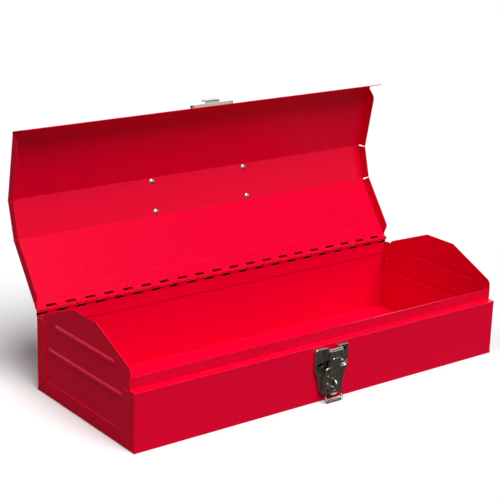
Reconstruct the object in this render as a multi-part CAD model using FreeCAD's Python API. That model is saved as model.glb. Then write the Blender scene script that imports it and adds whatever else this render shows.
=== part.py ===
"""Hip-roof steel toolbox with one draw latch, standing open and empty.

Frame: millimetres, +X along the length, +Y to the hinge side, +Z up. The origin is on the floor under
the centre of the box. The lid, its catch and its carrying handle are designed on the closed box and then
swung open together about the hinge; the latch lever, its wire bail and the handle hang free.
"""
import FreeCAD, Part
import math
import os

V = FreeCAD.Vector

# ---- driving dimensions of the box ----
LENGTH = 485.0            # over the end flanges
DEPTH = 188.0             # over the front and rear walls
SHEET = 0.9               # thickness of the box and lid steel
BEND_R = 0.8              # inside radius of every sheet bend
FRONT_Z = 62.8            # top of the front wall, where the ledge turns in
LEDGE = 8.5               # width of the ledge that the lid's lip stands on
RIM_TOP_Z = 75.4          # top of the rim behind the ledge
REAR_TOP_Z = 86.3         # top of the rear wall, just under the hinge barrels
REAR_FLANGE = 19.0        # widths of the flanges folded round the ends
FRONT_FLANGE = 22.0
BOTTOM_FLANGE = 16.5
REAR_FLANGE_TOP_Z = 82.6
MITRE_GAP = 0.5
END_ROOF_Z = 112.4        # flat top of the end panels
END_GAP = 0.4             # between the end panels and the rim
REST_R = 2.6              # round dimple inside each end panel, near the hinge
REST_RISE = 1.3
REST_FROM_REAR = 6.8
REST_Z = 62.1
RIB_LOW_Z = 51.8          # pressed ribs of the end panels
RIB_LOW_INSET = (24.5, 26.5)    # from the front and from the rear of the box
RIB_HIGH_Z = 81.5
RIB_HIGH_INSET = (38.5, 40.5)
RIB_R = 5.0
RIB_PROUD = 1.3

# ---- hinge ----
KNUCKLES = 41             # odd ones from each end belong to the lid
KNUCKLE_GAP = 0.3
BARREL_R = 2.1
HINGE_PIN_R = 1.05
RUNNING_FIT = 0.05
BODY_SLOT_R = 4.2         # how far each leaf is cut back from the other leaf's knuckles
LID_SLOT_R = 3.4
LEAF_WIDTH = 18.7         # from the pin to the leaf's far edge
HINGE_Z = 88.9

# ---- lid, closed ----
RIDGE_Z = 118.6
RIDGE_REAR_Y = 19.0
RIDGE_FRONT_Y = -23.7
BROW_Z = 85.0             # fold between the front slope and the lip
LIP_BOTTOM_Z = 63.6
LID_FLANGE = 11.8
LID_OVERHANG = 0.4        # the lid is this much longer than the box at each end
LID_EDGE = 2.6            # the lid's sheet stops this far from the hinge's axis
LID_OPEN = 105.0          # degrees from closed to the position it stands in

# ---- draw latch, on the front wall at x = 0 ----
STRIP = 1.0               # thickness of the latch's steel
BASE_PROUD = 3.6
BASE_HALF = 22.3
BASE_TOP_Z = 60.5
EAR_OUTER_X = 8.2
EAR_BOTTOM_Z = 46.0
EAR_REACH = 11.0
LEVER_HALF = 6.8
TONGUE_HALF = 6.6
LEVER_PIVOT_Z = 57.0
LEVER_PIN_R = 1.4
CURL_R = 2.8
LATCH_PIVOT_REACH = 7.5   # both latch pivots stand this far in front of the wall
BAIL_PIVOT_Z = 38.3
BAIL_R = 1.2
BAIL_HALF = 10.6
BAIL_LENGTH = 36.0
BAIL_KINK = 2.0           # the bar is bent forward of the legs by this much
BAIL_KINK_RISE = 5.0
STAPLE_R = 1.2
STAPLE_Z = 20.0
STAPLE_LOOP_R = 4.4
STAPLE_REACH = 13.4
BASE_RIVET_X = 16.3
BASE_RIVET_Z = 40.5
DIMPLE_R = 5.2            # round dimples that carry the rivet heads
SMALL_SHANK_R = 1.6       # rivets of the latch and of the catch
BASE_RIVET_HEAD = (3.1, 1.5)    # radius and height of a rivet's head and tail
BASE_RIVET_TAIL = (2.6, 1.2)
PIN_HEAD = (0.6, 0.7)     # how far the pivot pin's peened head overhangs it, and its thickness
LEVER_TIP_Z = 8.3
LEVER_BEND_R = 1.5
LEVER_SLOT = (4.2, 12.4, 28.0, 3.6)     # half width, bottom, top, corner radius
LEVER_EMBOSS = (5.6, 30.5, 50.0)        # half width, bottom, top
EMBOSS_PROUD = 0.9
BAIL_INSET = 2.4          # how far the bail's ends reach in through the lever's cheeks
BAIL_BEND_R = 1.8

# ---- catch on the lid's lip ----
CATCH_HALF = 27.5
CATCH_THICK = 1.2
CATCH_RIVET_X = 17.5
CATCH_RIVET_Z = 74.0
CATCH_LOW_Z = 67.5
CATCH_HIGH_Z = 80.5
CATCH_CORNER_R = 6.0
CATCH_RIVET_HEAD = (3.2, 1.5)
CATCH_RIVET_TAIL = (2.8, 1.2)
HOOK_HALF = 8.0
HOOK_SEAT_Z = 72.6
HOOK_REACH = 6.0          # from the lip to the tongue's upright part
HOOK_RISE = 5.0           # height of the upright part
HOOK_TIP = (1.6, 2.6)     # how far the tip leans out and rises
HOOK_BEND_R = 1.2
HOOK_ROUND_R = 3.5

# ---- carrying handle on the ridge ----
BRACKET_X = 63.5
BRACKET_RIVET_Y = 17.0
BRACKET_HALF_X = 8.0
BRACKET_THICK = 1.5
BRACKET_END = 6.5         # from the rivets to the strap's ends
BRACKET_CORNER_R = 6.0
HANDLE_SHANK_R = 2.0
HANDLE_RIVET_HEAD = (3.7, 1.8)
HANDLE_RIVET_TAIL = (3.3, 1.4)
HANDLE_R = 3.0
HANDLE_RISE = 4.6         # pivot above the ridge
HANDLE_LEG_X = 49.0
HANDLE_LENGTH = 42.0
HANDLE_BEND_R = 6.0
HANDLE_END = 2.0          # how far the rod's ends stand out of the brackets
GRIP_R = 9.0
GRIP_HALF = 41.0
COLLAR = 3.0              # width of the grip's collars
COLLAR_PROUD = 0.8
HANDLE_TILT = LID_OPEN - 90.0   # the handle hangs plumb once the lid is open

# ---- derived places ----
HALF_L = LENGTH / 2
HALF_D = DEPTH / 2
FRONT_Y = -HALF_D
HINGE_Y = HALF_D - 1.5 * SHEET
KNUCKLE_PITCH = LENGTH / KNUCKLES
RIDGE_MID_Y = (RIDGE_REAR_Y + RIDGE_FRONT_Y) / 2
HANDLE_PIVOT_Z = RIDGE_Z + HANDLE_RISE
LATCH_PIVOT_Y = FRONT_Y - LATCH_PIVOT_REACH


# ---- helpers ----
def in_yz(x):
    """Map a (y, z) pair into the plane at this x."""
    return lambda p: V(x, p[0], p[1])


def in_xz(y):
    """Map an (x, z) pair into the plane at this y."""
    return lambda p: V(p[0], y, p[1])


def unit(a, b):
    """Unit vector from point a to point b, both pairs."""
    length = math.dist(a, b)
    return ((b[0] - a[0]) / length, (b[1] - a[1]) / length)


def along(p, direction, distance):
    """The point at this distance from p."""
    return (p[0] + direction[0] * distance, p[1] + direction[1] * distance)


def corner(before, p, after, radius):
    """Start, middle and end of the arc that rounds the corner p."""
    back = unit(p, before)
    ahead = unit(p, after)
    half = math.acos(max(-1.0, min(1.0, back[0] * ahead[0] + back[1] * ahead[1]))) / 2
    reach = radius / math.tan(half)
    middle = unit((0.0, 0.0), (back[0] + ahead[0], back[1] + ahead[1]))
    return along(p, back, reach), along(p, middle, radius / math.sin(half) - radius), along(p, ahead, reach)


def face(corners, place):
    """Flat face from (u, v, corner radius) triples, with round corners where the radius isn't zero."""
    points = [(c[0], c[1]) for c in corners]
    stops = []
    for i, c in enumerate(corners):
        if c[2]:
            stops.append(corner(points[i - 1], points[i], points[(i + 1) % len(points)], c[2]))
        else:
            stops.append((points[i],))
    edges = []
    for i, stop in enumerate(stops):
        if len(stop) == 3:
            edges.append(Part.Arc(*[place(p) for p in stop]).toShape())
        ahead = stops[(i + 1) % len(stops)][0]
        if math.dist(stop[-1], ahead) > 1e-6:
            edges.append(Part.LineSegment(place(stop[-1]), place(ahead)).toShape())
    return Part.Face(Part.Wire(edges))


def prism_x(corners, x0, x1):
    """Extrude a (y, z) outline from x0 to x1."""
    return face(corners, in_yz(x0)).extrude(V(x1 - x0, 0, 0))


def prism_y(corners, y0, y1):
    """Extrude an (x, z) outline from y0 to y1."""
    return face(corners, in_xz(y0)).extrude(V(0, y1 - y0, 0))


def box(x0, x1, y0, y1, z0, z1):
    """Box between two corners."""
    return Part.makeBox(x1 - x0, y1 - y0, z1 - z0, V(x0, y0, z0))


def rod_x(y, z, radius, x0, x1):
    """Cylinder along X."""
    return Part.makeCylinder(radius, x1 - x0, V(x0, y, z), V(1, 0, 0))


def rod_y(x, z, radius, y0, y1):
    """Cylinder along Y."""
    return Part.makeCylinder(radius, y1 - y0, V(x, y0, z), V(0, 1, 0))


def joined(shapes):
    """One clean solid from overlapping ones."""
    return shapes[0].multiFuse(shapes[1:]).removeSplitter()


def mirrored_x(shape):
    """The same shape on the other side of x = 0."""
    return shape.mirror(V(0, 0, 0), V(1, 0, 0))


def offset_line(skin, thickness):
    """The corners of an open line moved to its left by a thickness."""
    moved = []
    for i, p in enumerate(skin):
        before = unit(skin[max(i - 1, 0)], skin[max(i, 1)])
        after = unit(skin[min(i, len(skin) - 2)], skin[min(i + 1, len(skin) - 1)])
        left = unit((0.0, 0.0), (-before[1] - after[1], before[0] + after[0]))
        lean = -before[1] * left[0] + before[0] * left[1]
        moved.append(along(p, left, thickness / lean))
    return moved


def bent_sheet(skin, thickness, inside_r, place):
    """Section of a sheet whose one skin is this open line, and whose metal lies to its left."""
    other = offset_line(skin, thickness)
    near = []
    far = []
    for i, (p, q) in enumerate(zip(skin, other)):
        radii = (0.0, 0.0)
        if 0 < i < len(skin) - 1:
            a = unit(skin[i - 1], p)
            b = unit(p, skin[i + 1])
            turns_left = a[0] * b[1] - a[1] * b[0] > 0
            radii = (inside_r + thickness, inside_r) if turns_left else (inside_r, inside_r + thickness)
        near.append((*p, radii[0]))
        far.append((*q, radii[1]))
    return face(near + far[::-1], place)


def wire_rod(points, bend_r, radius):
    """Round wire along a line of points, every corner bent to one radius."""
    stops = [(points[0],)]
    for i in range(1, len(points) - 1):
        back = (points[i - 1] - points[i]).normalize()
        ahead = (points[i + 1] - points[i]).normalize()
        half = back.getAngle(ahead) / 2
        reach = bend_r / math.tan(half)
        middle = (back + ahead).normalize() * (bend_r / math.sin(half) - bend_r)
        stops.append((points[i] + back * reach, points[i] + middle, points[i] + ahead * reach))
    stops.append((points[-1],))
    edges = []
    for i, stop in enumerate(stops):
        if len(stop) == 3:
            edges.append(Part.Arc(*stop).toShape())
        if i < len(stops) - 1:
            edges.append(Part.LineSegment(stop[-1], stops[i + 1][0]).toShape())
    start = Part.Wire([Part.makeCircle(radius, points[0], points[1] - points[0])])
    return Part.Wire(edges).makePipeShell([start], True, False)


def dome(radius, height):
    """Low round head on the plane z = 0, bulging to +Z."""
    ball = (radius ** 2 + height ** 2) / (2 * height)
    latitude = math.degrees(math.asin((ball - height) / ball))
    return Part.makeSphere(ball, V(0, 0, height - ball), V(0, 0, 1), latitude, 90, 360)


def rivet(place, outward, grip, shank_r, head, tail):
    """Rivet through a stack of plates: head, shank and tail.

    place is on the outer surface, outward points out of it, grip is the stack's thickness, and head and
    tail are (radius, height) of the two domes.
    """
    shank = Part.makeCylinder(shank_r, grip, V(0, 0, -grip))
    shut = dome(*tail)
    shut.rotate(V(0, 0, 0), V(1, 0, 0), 180)
    shut.translate(V(0, 0, -grip))
    whole = joined([shank, dome(*head), shut])
    whole.Placement = FreeCAD.Placement(place, FreeCAD.Rotation(V(0, 0, 1), outward))
    return whole


# ---- box ----
def body_wrap(latch_holes):
    """Front wall, bottom and rear wall from one sheet, with flanges folded round both ends."""
    skin = [
        (FRONT_Y + LEDGE, RIM_TOP_Z),
        (FRONT_Y + LEDGE, FRONT_Z),
        (FRONT_Y, FRONT_Z),
        (FRONT_Y, 0.0),
        (HALF_D, 0.0),
        (HALF_D, REAR_TOP_Z),
    ]
    wall = bent_sheet(skin, SHEET, BEND_R, in_yz(-HALF_L)).extrude(V(LENGTH, 0, 0))
    rim_clearance = box(-HALF_L, -HALF_L + SHEET, FRONT_Y + LEDGE / 2, FRONT_Y + 2 * LEDGE, FRONT_Z, RIM_TOP_Z)
    wall = wall.cut(rim_clearance).cut(mirrored_x(rim_clearance))
    edge = BEND_R + SHEET
    slope = BOTTOM_FLANGE / REAR_FLANGE
    rear = [
        (HALF_D, edge, 0.0),
        (HALF_D, REAR_FLANGE_TOP_Z, 3.0),
        (HALF_D - REAR_FLANGE, REAR_FLANGE_TOP_Z, 3.0),
        (HALF_D - REAR_FLANGE, BOTTOM_FLANGE + MITRE_GAP, 0.0),
        (HALF_D - edge / slope, edge + MITRE_GAP, 0.0),
    ]
    front = [
        (FRONT_Y, edge, 0.0),
        (FRONT_Y + edge / slope, edge + MITRE_GAP, 0.0),
        (FRONT_Y + FRONT_FLANGE, BOTTOM_FLANGE + MITRE_GAP, 0.0),
        (FRONT_Y + FRONT_FLANGE, FRONT_Z - SHEET, 4.0),
        (FRONT_Y + SHEET, FRONT_Z - SHEET, 0.0),
        (FRONT_Y, FRONT_Z - edge, 0.0),
    ]
    bottom = [
        (FRONT_Y + edge, 0.0, 0.0),
        (HALF_D - edge, 0.0, 0.0),
        (HALF_D - REAR_FLANGE, BOTTOM_FLANGE, 0.0),
        (FRONT_Y + FRONT_FLANGE, BOTTOM_FLANGE, 0.0),
    ]
    flanges = [prism_x(outline, -HALF_L, -HALF_L + SHEET) for outline in (rear, front, bottom)]
    flanges += [mirrored_x(flange) for flange in flanges]
    return joined([wall] + flanges).cut(latch_holes)


def end_panel():
    """Left end: flat sheet behind the flanges, with the roof's profile and two ribs pressed outward."""
    outer_x = -HALF_L + SHEET
    inner_x = outer_x + SHEET
    rim_back = FRONT_Y + LEDGE + SHEET
    outline = [
        (HALF_D - SHEET, SHEET, BEND_R),
        (HALF_D - SHEET, 84.0, 0.0),
        (HALF_D - 8.5, 85.4, 2.5),
        (HALF_D - 11.0, 84.2, 0.8),
        (HALF_D - 15.0, 88.4, 2.0),
        (19.5, END_ROOF_Z, 5.0),
        (RIDGE_FRONT_Y, END_ROOF_Z, 5.0),
        (FRONT_Y + 8.0, 84.3, 7.0),
        (FRONT_Y + 8.0, RIM_TOP_Z + END_GAP, 0.0),
        (rim_back, RIM_TOP_Z + END_GAP, 0.0),
        (rim_back, FRONT_Z - SHEET, 0.0),
        (FRONT_Y + SHEET, FRONT_Z - SHEET, 0.0),
        (FRONT_Y + SHEET, SHEET, BEND_R),
    ]
    panel = prism_x(outline, outer_x, inner_x)
    for z, inset in ((RIB_LOW_Z, RIB_LOW_INSET), (RIB_HIGH_Z, RIB_HIGH_INSET)):
        swell, hollow = rib(outer_x, z, FRONT_Y + inset[0], HALF_D - inset[1])
        panel = panel.fuse(swell).cut(hollow)
    rest = dome(REST_R, REST_RISE)
    rest.rotate(V(0, 0, 0), V(0, 1, 0), 90)
    rest.translate(V(inner_x, HALF_D - REST_FROM_REAR, REST_Z))
    return panel.fuse(rest).removeSplitter()


def rib(outer_x, z, y0, y1):
    """Swelling and hollow of one pressed rib with round ends, along Y on the outer face."""
    axis_x = outer_x - RIB_PROUD + RIB_R
    shapes = []
    for radius in (RIB_R, RIB_R - SHEET):
        bar = Part.makeCylinder(radius, y1 - y0, V(axis_x, y0, z), V(0, 1, 0))
        ends = [Part.makeSphere(radius, V(axis_x, y, z)) for y in (y0, y1)]
        shapes.append(joined([bar] + ends))
    keep = box(outer_x - RIB_R, outer_x + SHEET, y0 - RIB_R, y1 + RIB_R, z - RIB_R, z + RIB_R)
    return shapes[0].common(keep), shapes[1].common(keep)


# ---- hinge ----
def knuckle_spans(lid):
    """Ranges of x of one leaf's knuckles."""
    first = 0 if lid else 1
    starts = [-HALF_L + i * KNUCKLE_PITCH for i in range(first, KNUCKLES, 2)]
    return [(x + KNUCKLE_GAP / 2, x + KNUCKLE_PITCH - KNUCKLE_GAP / 2) for x in starts]


def hinge_bore():
    """The space that the hinge pin turns in."""
    reach = HALF_L + SHEET
    return rod_x(HINGE_Y, HINGE_Z, HINGE_PIN_R + RUNNING_FIT, -reach, reach)


def hinge_leaf(lid, slot_r):
    """Strip hanging from the hinge's axis, with its rolled knuckles and slots for the other leaf's."""
    inner_x = HALF_L - 2 * SHEET
    half = SHEET / 2
    top = HINGE_Z - slot_r
    pieces = [box(-inner_x, inner_x, HINGE_Y - half, HINGE_Y + half, HINGE_Z - LEAF_WIDTH, top)]
    for x0, x1 in knuckle_spans(lid):
        pieces.append(box(x0, x1, HINGE_Y - half, HINGE_Y + half, top - 1.0, HINGE_Z))
        pieces.append(rod_x(HINGE_Y, HINGE_Z, BARREL_R, x0, x1))
    return joined(pieces).cut(hinge_bore())


def body_hinge_leaf():
    """Leaf inside the rear wall."""
    return hinge_leaf(False, BODY_SLOT_R)


def lid_hinge_leaf():
    """Leaf under the rear slope of the closed lid."""
    leaf = hinge_leaf(True, LID_SLOT_R)
    leaf.rotate(V(0, HINGE_Y, HINGE_Z), V(1, 0, 0), -90.0 - math.degrees(rear_slope()))
    return leaf


def hinge_pin():
    """One rod through all the knuckles."""
    return rod_x(HINGE_Y, HINGE_Z, HINGE_PIN_R, -HALF_L, HALF_L)


# ---- lid, closed ----
def rear_slope():
    """Angle of the closed lid's rear slope, whose sheet lies on its hinge leaf."""
    rise = RIDGE_Z - HINGE_Z
    run = HINGE_Y - RIDGE_REAR_Y
    return math.atan2(rise, run) - math.asin(1.5 * SHEET / math.hypot(rise, run))


def lid_skin():
    """Outer line of the lid's section, from beside the hinge forward and down to the lip's edge."""
    fold = (RIDGE_REAR_Y, RIDGE_Z)
    outward = 1.5 * SHEET
    slope = rear_slope()
    foot = (HINGE_Y + outward * math.sin(slope), HINGE_Z + outward * math.cos(slope))
    edge = along(foot, unit(foot, fold), LID_EDGE)
    return [edge, fold, (RIDGE_FRONT_Y, RIDGE_Z), (FRONT_Y, BROW_Z), (FRONT_Y, LIP_BOTTOM_Z)]


def lid_flange(skin, inner, i, start, end):
    """Outline of the end flange of the panel from fold i to fold i + 1.

    start and end are (skin set-back, inner set-back, corner radius) at the two ends of the flange.
    """
    ahead = unit(skin[i], skin[i + 1])
    return [
        (*along(skin[i], ahead, start[0]), 0.0),
        (*along(skin[i + 1], ahead, -end[0]), 0.0),
        (*along(inner[i + 1], ahead, -end[1]), end[2]),
        (*along(inner[i], ahead, start[1]), start[2]),
    ]


def lid_shell(holes):
    """Rear slope, ridge, front slope and lip from one sheet, with end flanges."""
    skin = lid_skin()
    inner = offset_line(skin, LID_FLANGE)
    half = HALF_L + LID_OVERHANG
    sheet = bent_sheet(skin, SHEET, BEND_R, in_yz(-half)).extrude(V(2 * half, 0, 0))
    notch = (1.2, 0.4, 1.5)
    flanges = [
        lid_flange(skin, inner, 0, (2.4, 9.9, 4.0), notch),
        lid_flange(skin, inner, 1, notch, notch),
        lid_flange(skin, inner, 2, notch, (2.5, 3.0, 7.0)),
    ]
    pieces = [sheet]
    for outline in flanges:
        plate = prism_x(outline, -half, -half + SHEET)
        pieces += [plate, mirrored_x(plate)]
    return joined(pieces).cut(holes)


# ---- draw latch ----
def base_outline():
    """Front view of the latch's base: two lugs above, and shoulders that taper to a round foot."""
    half = [
        (EAR_OUTER_X, BASE_TOP_Z, 1.0),
        (BASE_HALF, BASE_TOP_Z, 2.5),
        (BASE_HALF, 36.0, 3.0),
        (18.8, 29.5, 6.0),
        (15.4, 13.0, 6.0),
        (12.0, 8.0, 3.5),
    ]
    left = [(-x, z, r) for x, z, r in half]
    return [(EAR_OUTER_X, EAR_BOTTOM_Z, 1.0)] + half + left[::-1] + [(-EAR_OUTER_X, EAR_BOTTOM_Z, 1.0)]


def latch_base():
    """Pressed base plate: a shallow pan with turned edges, rivet dimples and two pivot ears."""
    front = FRONT_Y - BASE_PROUD
    plate = prism_y(base_outline(), front, FRONT_Y)
    under = face(base_outline(), in_xz(FRONT_Y)).makeOffset2D(-STRIP)
    plate = plate.cut(under.extrude(V(0, STRIP - BASE_PROUD, 0)))
    pieces = [plate]
    for side in (-1, 1):
        pieces.append(rod_y(side * BASE_RIVET_X, BASE_RIVET_Z, DIMPLE_R, front, FRONT_Y))
        ear = [
            (FRONT_Y, EAR_BOTTOM_Z + 1.0, 0.0),
            (FRONT_Y, BASE_TOP_Z, 0.0),
            (FRONT_Y - EAR_REACH, BASE_TOP_Z, 3.0),
            (FRONT_Y - EAR_REACH, 50.5, 4.0),
            (FRONT_Y - 6.0, EAR_BOTTOM_Z, 2.0),
            (FRONT_Y - BASE_PROUD, EAR_BOTTOM_Z, 0.0),
        ]
        edges = sorted((side * EAR_OUTER_X, side * (EAR_OUTER_X - STRIP)))
        pieces.append(prism_x(ear, *edges))
    base = joined(pieces)
    for side in (-1, 1):
        base = base.cut(rod_y(side * BASE_RIVET_X, BASE_RIVET_Z, DIMPLE_R - STRIP, front, FRONT_Y - STRIP))
    pin = rod_x(LATCH_PIVOT_Y, LEVER_PIVOT_Z, LEVER_PIN_R, -BASE_HALF, BASE_HALF)
    staple_feet = [rod_y(0, STAPLE_Z + s * STAPLE_LOOP_R, STAPLE_R, front, FRONT_Y) for s in (-1, 1)]
    return base.cut(pin).cut(latch_holes()).cut(Part.makeCompound(staple_feet))


def latch_holes():
    """Rivet holes through the base plate and the front wall."""
    return Part.makeCompound([
        rod_y(side * BASE_RIVET_X, BASE_RIVET_Z, SMALL_SHANK_R, FRONT_Y - STRIP, FRONT_Y + SHEET)
        for side in (-1, 1)
    ])


def latch_base_rivets():
    """Two rivets in the base's dimples, closed inside the box."""
    outer = FRONT_Y - STRIP
    places = [V(side * BASE_RIVET_X, outer, BASE_RIVET_Z) for side in (-1, 1)]
    return Part.makeCompound([
        rivet(p, V(0, -1, 0), STRIP + SHEET, SMALL_SHANK_R, BASE_RIVET_HEAD, BASE_RIVET_TAIL) for p in places
    ])


def latch_staple():
    """Padlock loop, standing out through the lever's slot."""
    root = FRONT_Y - BASE_PROUD + STRIP
    turn = FRONT_Y - STAPLE_REACH + STAPLE_R + STAPLE_LOOP_R
    legs = [rod_y(0, STAPLE_Z + s * STAPLE_LOOP_R, STAPLE_R, turn, root) for s in (-1, 1)]
    ring = Part.makeTorus(STAPLE_LOOP_R, STAPLE_R, V(0, turn, STAPLE_Z), V(1, 0, 0))
    outer_half = box(-STAPLE_R, STAPLE_R, turn - 2 * STAPLE_LOOP_R, turn, 0, 2 * STAPLE_Z)
    return joined(legs + [ring.common(outer_half)])


def latch_pivot_pin():
    """Pin through both ears, peened over at its ends."""
    overhang, thick = PIN_HEAD
    pin = rod_x(LATCH_PIVOT_Y, LEVER_PIVOT_Z, LEVER_PIN_R, -EAR_OUTER_X, EAR_OUTER_X)
    head = rod_x(LATCH_PIVOT_Y, LEVER_PIVOT_Z, LEVER_PIN_R + overhang, EAR_OUTER_X, EAR_OUTER_X + thick)
    return joined([pin, head, mirrored_x(head)])


def latch_lever():
    """Lever: curl on the pin, embossed web with side flanges, and a slotted tongue."""
    web_y = LATCH_PIVOT_Y - CURL_R
    tongue_y = LATCH_PIVOT_Y - STRIP / 2
    skin = [
        (web_y, LEVER_PIVOT_Z),
        (web_y, 32.0),
        (tongue_y, 24.5),
        (tongue_y, 11.0),
        (tongue_y - 1.2, LEVER_TIP_Z),
    ]
    web = bent_sheet(skin, STRIP, LEVER_BEND_R, in_yz(-LEVER_HALF)).extrude(V(2 * LEVER_HALF, 0, 0))
    waist = LEVER_HALF - 0.9
    half = [
        (LEVER_HALF, LEVER_PIVOT_Z + CURL_R, 0.0),
        (LEVER_HALF, 34.0, 2.0),
        (waist, 27.0, 4.0),
        (TONGUE_HALF, 19.0, 4.0),
        (TONGUE_HALF, LEVER_TIP_Z, 5.5),
    ]
    outline = half + [(-x, z, r) for x, z, r in half[::-1]]
    web = web.common(prism_y(outline, FRONT_Y - 2 * EAR_REACH, FRONT_Y))
    wide, low, high, round_r = LEVER_SLOT
    slot = [(-wide, low, round_r), (wide, low, round_r), (wide, high, round_r), (-wide, high, round_r)]
    web = web.cut(prism_y(slot, FRONT_Y - 2 * EAR_REACH, FRONT_Y))
    wide, low, high = LEVER_EMBOSS
    emboss = [(-wide, low, 1.5), (wide, low, 1.5), (wide, high, 3.0), (-wide, high, 3.0)]
    raised = prism_y(emboss, web_y - EMBOSS_PROUD, web_y + STRIP / 2)
    cheek = [
        (web_y + STRIP / 2, 53.0, 0.0),
        (web_y + STRIP / 2, 32.5, 0.0),
        (LATCH_PIVOT_Y + 1.0, 34.5, 1.5),
        (LATCH_PIVOT_Y + 2.2, BAIL_PIVOT_Z, 1.5),
        (LATCH_PIVOT_Y + 1.0, 49.0, 3.0),
    ]
    cheeks = [prism_x(cheek, LEVER_HALF - STRIP, LEVER_HALF)]
    cheeks.append(mirrored_x(cheeks[0]))
    curl = rod_x(LATCH_PIVOT_Y, LEVER_PIVOT_Z, CURL_R, -LEVER_HALF, LEVER_HALF)
    lever = joined([web, raised, curl] + cheeks)
    fit = RUNNING_FIT
    lever = lever.cut(rod_x(LATCH_PIVOT_Y, LEVER_PIVOT_Z, LEVER_PIN_R + fit, -BASE_HALF, BASE_HALF))
    return lever.cut(rod_x(LATCH_PIVOT_Y, BAIL_PIVOT_Z, BAIL_R + fit, -BASE_HALF, BASE_HALF))


def latch_bail():
    """Wire bail hanging from the lever's cheeks, its bar bent forward."""
    y = LATCH_PIVOT_Y
    side = [
        V(LEVER_HALF - BAIL_INSET, y, BAIL_PIVOT_Z),
        V(BAIL_HALF, y, BAIL_PIVOT_Z),
        V(BAIL_HALF, y, BAIL_PIVOT_Z - BAIL_LENGTH + BAIL_KINK_RISE),
        V(BAIL_HALF, y - BAIL_KINK, BAIL_PIVOT_Z - BAIL_LENGTH),
    ]
    other = [V(-p.x, p.y, p.z) for p in side]
    return wire_rod(side + other[::-1], BAIL_BEND_R, BAIL_R)


# ---- catch on the closed lid's lip ----
def catch_holes():
    """Rivet holes through the catch and the lip."""
    return Part.makeCompound([
        rod_y(side * CATCH_RIVET_X, CATCH_RIVET_Z, SMALL_SHANK_R, FRONT_Y - CATCH_THICK, FRONT_Y + SHEET)
        for side in (-1, 1)
    ])


def catch_plate():
    """Plate across the lip with a hooked tongue that holds the bail's bar."""
    outline = [
        (-CATCH_HALF, CATCH_LOW_Z, CATCH_CORNER_R),
        (CATCH_HALF, CATCH_LOW_Z, CATCH_CORNER_R),
        (CATCH_HALF, CATCH_HIGH_Z, CATCH_CORNER_R),
        (-CATCH_HALF, CATCH_HIGH_Z, CATCH_CORNER_R),
    ]
    plate = prism_y(outline, FRONT_Y - CATCH_THICK, FRONT_Y)
    upright = FRONT_Y - HOOK_REACH
    bend_z = HOOK_SEAT_Z + HOOK_RISE
    hook = [
        (FRONT_Y - CATCH_THICK / 2, HOOK_SEAT_Z),
        (upright, HOOK_SEAT_Z),
        (upright, bend_z),
        (upright - HOOK_TIP[0], bend_z + HOOK_TIP[1]),
    ]
    tongue = bent_sheet(hook, CATCH_THICK, HOOK_BEND_R, in_yz(-HOOK_HALF)).extrude(V(2 * HOOK_HALF, 0, 0))
    rounded = [
        (-HOOK_HALF, HOOK_SEAT_Z - 2 * CATCH_THICK, 0.0),
        (HOOK_HALF, HOOK_SEAT_Z - 2 * CATCH_THICK, 0.0),
        (HOOK_HALF, bend_z + HOOK_ROUND_R, HOOK_ROUND_R),
        (-HOOK_HALF, bend_z + HOOK_ROUND_R, HOOK_ROUND_R),
    ]
    tongue = tongue.common(prism_y(rounded, FRONT_Y - EAR_REACH, FRONT_Y))
    return joined([plate, tongue]).cut(catch_holes())


def catch_rivets():
    """Two rivets through the catch and the lip."""
    places = [V(side * CATCH_RIVET_X, FRONT_Y - CATCH_THICK, CATCH_RIVET_Z) for side in (-1, 1)]
    return Part.makeCompound([
        rivet(p, V(0, -1, 0), CATCH_THICK + SHEET, SMALL_SHANK_R, CATCH_RIVET_HEAD, CATCH_RIVET_TAIL)
        for p in places
    ])


# ---- carrying handle on the closed lid's ridge ----
def handle_rivet_places():
    """Points on the ridge's outer skin."""
    return [
        V(sx * BRACKET_X, RIDGE_MID_Y + sy * BRACKET_RIVET_Y, RIDGE_Z) for sx in (-1, 1) for sy in (-1, 1)
    ]


def handle_holes():
    """Rivet holes through the brackets and the ridge."""
    depth = SHEET + BRACKET_THICK
    return Part.makeCompound([
        Part.makeCylinder(HANDLE_SHANK_R, depth, p - V(0, 0, SHEET)) for p in handle_rivet_places()
    ])


def handle_bracket():
    """Left bracket: a strap along Y, arched over the handle's end."""
    bore = HANDLE_R + RUNNING_FIT
    arch = bore + BRACKET_THICK
    end = BRACKET_RIVET_Y + BRACKET_END
    x0 = -BRACKET_X - BRACKET_HALF_X
    x1 = -BRACKET_X + BRACKET_HALF_X
    strap = box(x0, x1, RIDGE_MID_Y - end, RIDGE_MID_Y + end, RIDGE_Z, RIDGE_Z + BRACKET_THICK)
    hump = joined([
        rod_x(RIDGE_MID_Y, HANDLE_PIVOT_Z, arch, x0, x1),
        box(x0, x1, RIDGE_MID_Y - arch, RIDGE_MID_Y + arch, RIDGE_Z, HANDLE_PIVOT_Z),
    ])
    well = joined([
        rod_x(RIDGE_MID_Y, HANDLE_PIVOT_Z, bore, x0, x1),
        box(x0, x1, RIDGE_MID_Y - bore, RIDGE_MID_Y + bore, RIDGE_Z, HANDLE_PIVOT_Z),
    ])
    bracket = joined([strap, hump]).cut(well)
    corners = [
        e for e in bracket.Edges
        if abs(e.BoundBox.ZLength - BRACKET_THICK) < 1e-4
        and e.BoundBox.XLength < 1e-4
        and abs(abs(e.BoundBox.Center.y - RIDGE_MID_Y) - end) < 1e-3
    ]
    return bracket.makeFillet(BRACKET_CORNER_R, corners).cut(handle_holes())


def handle_rivets():
    """Four rivets, their flat tails showing inside the lid."""
    stack = BRACKET_THICK + SHEET
    places = [p + V(0, 0, BRACKET_THICK) for p in handle_rivet_places()]
    return Part.makeCompound([
        rivet(p, V(0, 0, 1), stack, HANDLE_SHANK_R, HANDLE_RIVET_HEAD, HANDLE_RIVET_TAIL) for p in places
    ])


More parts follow.
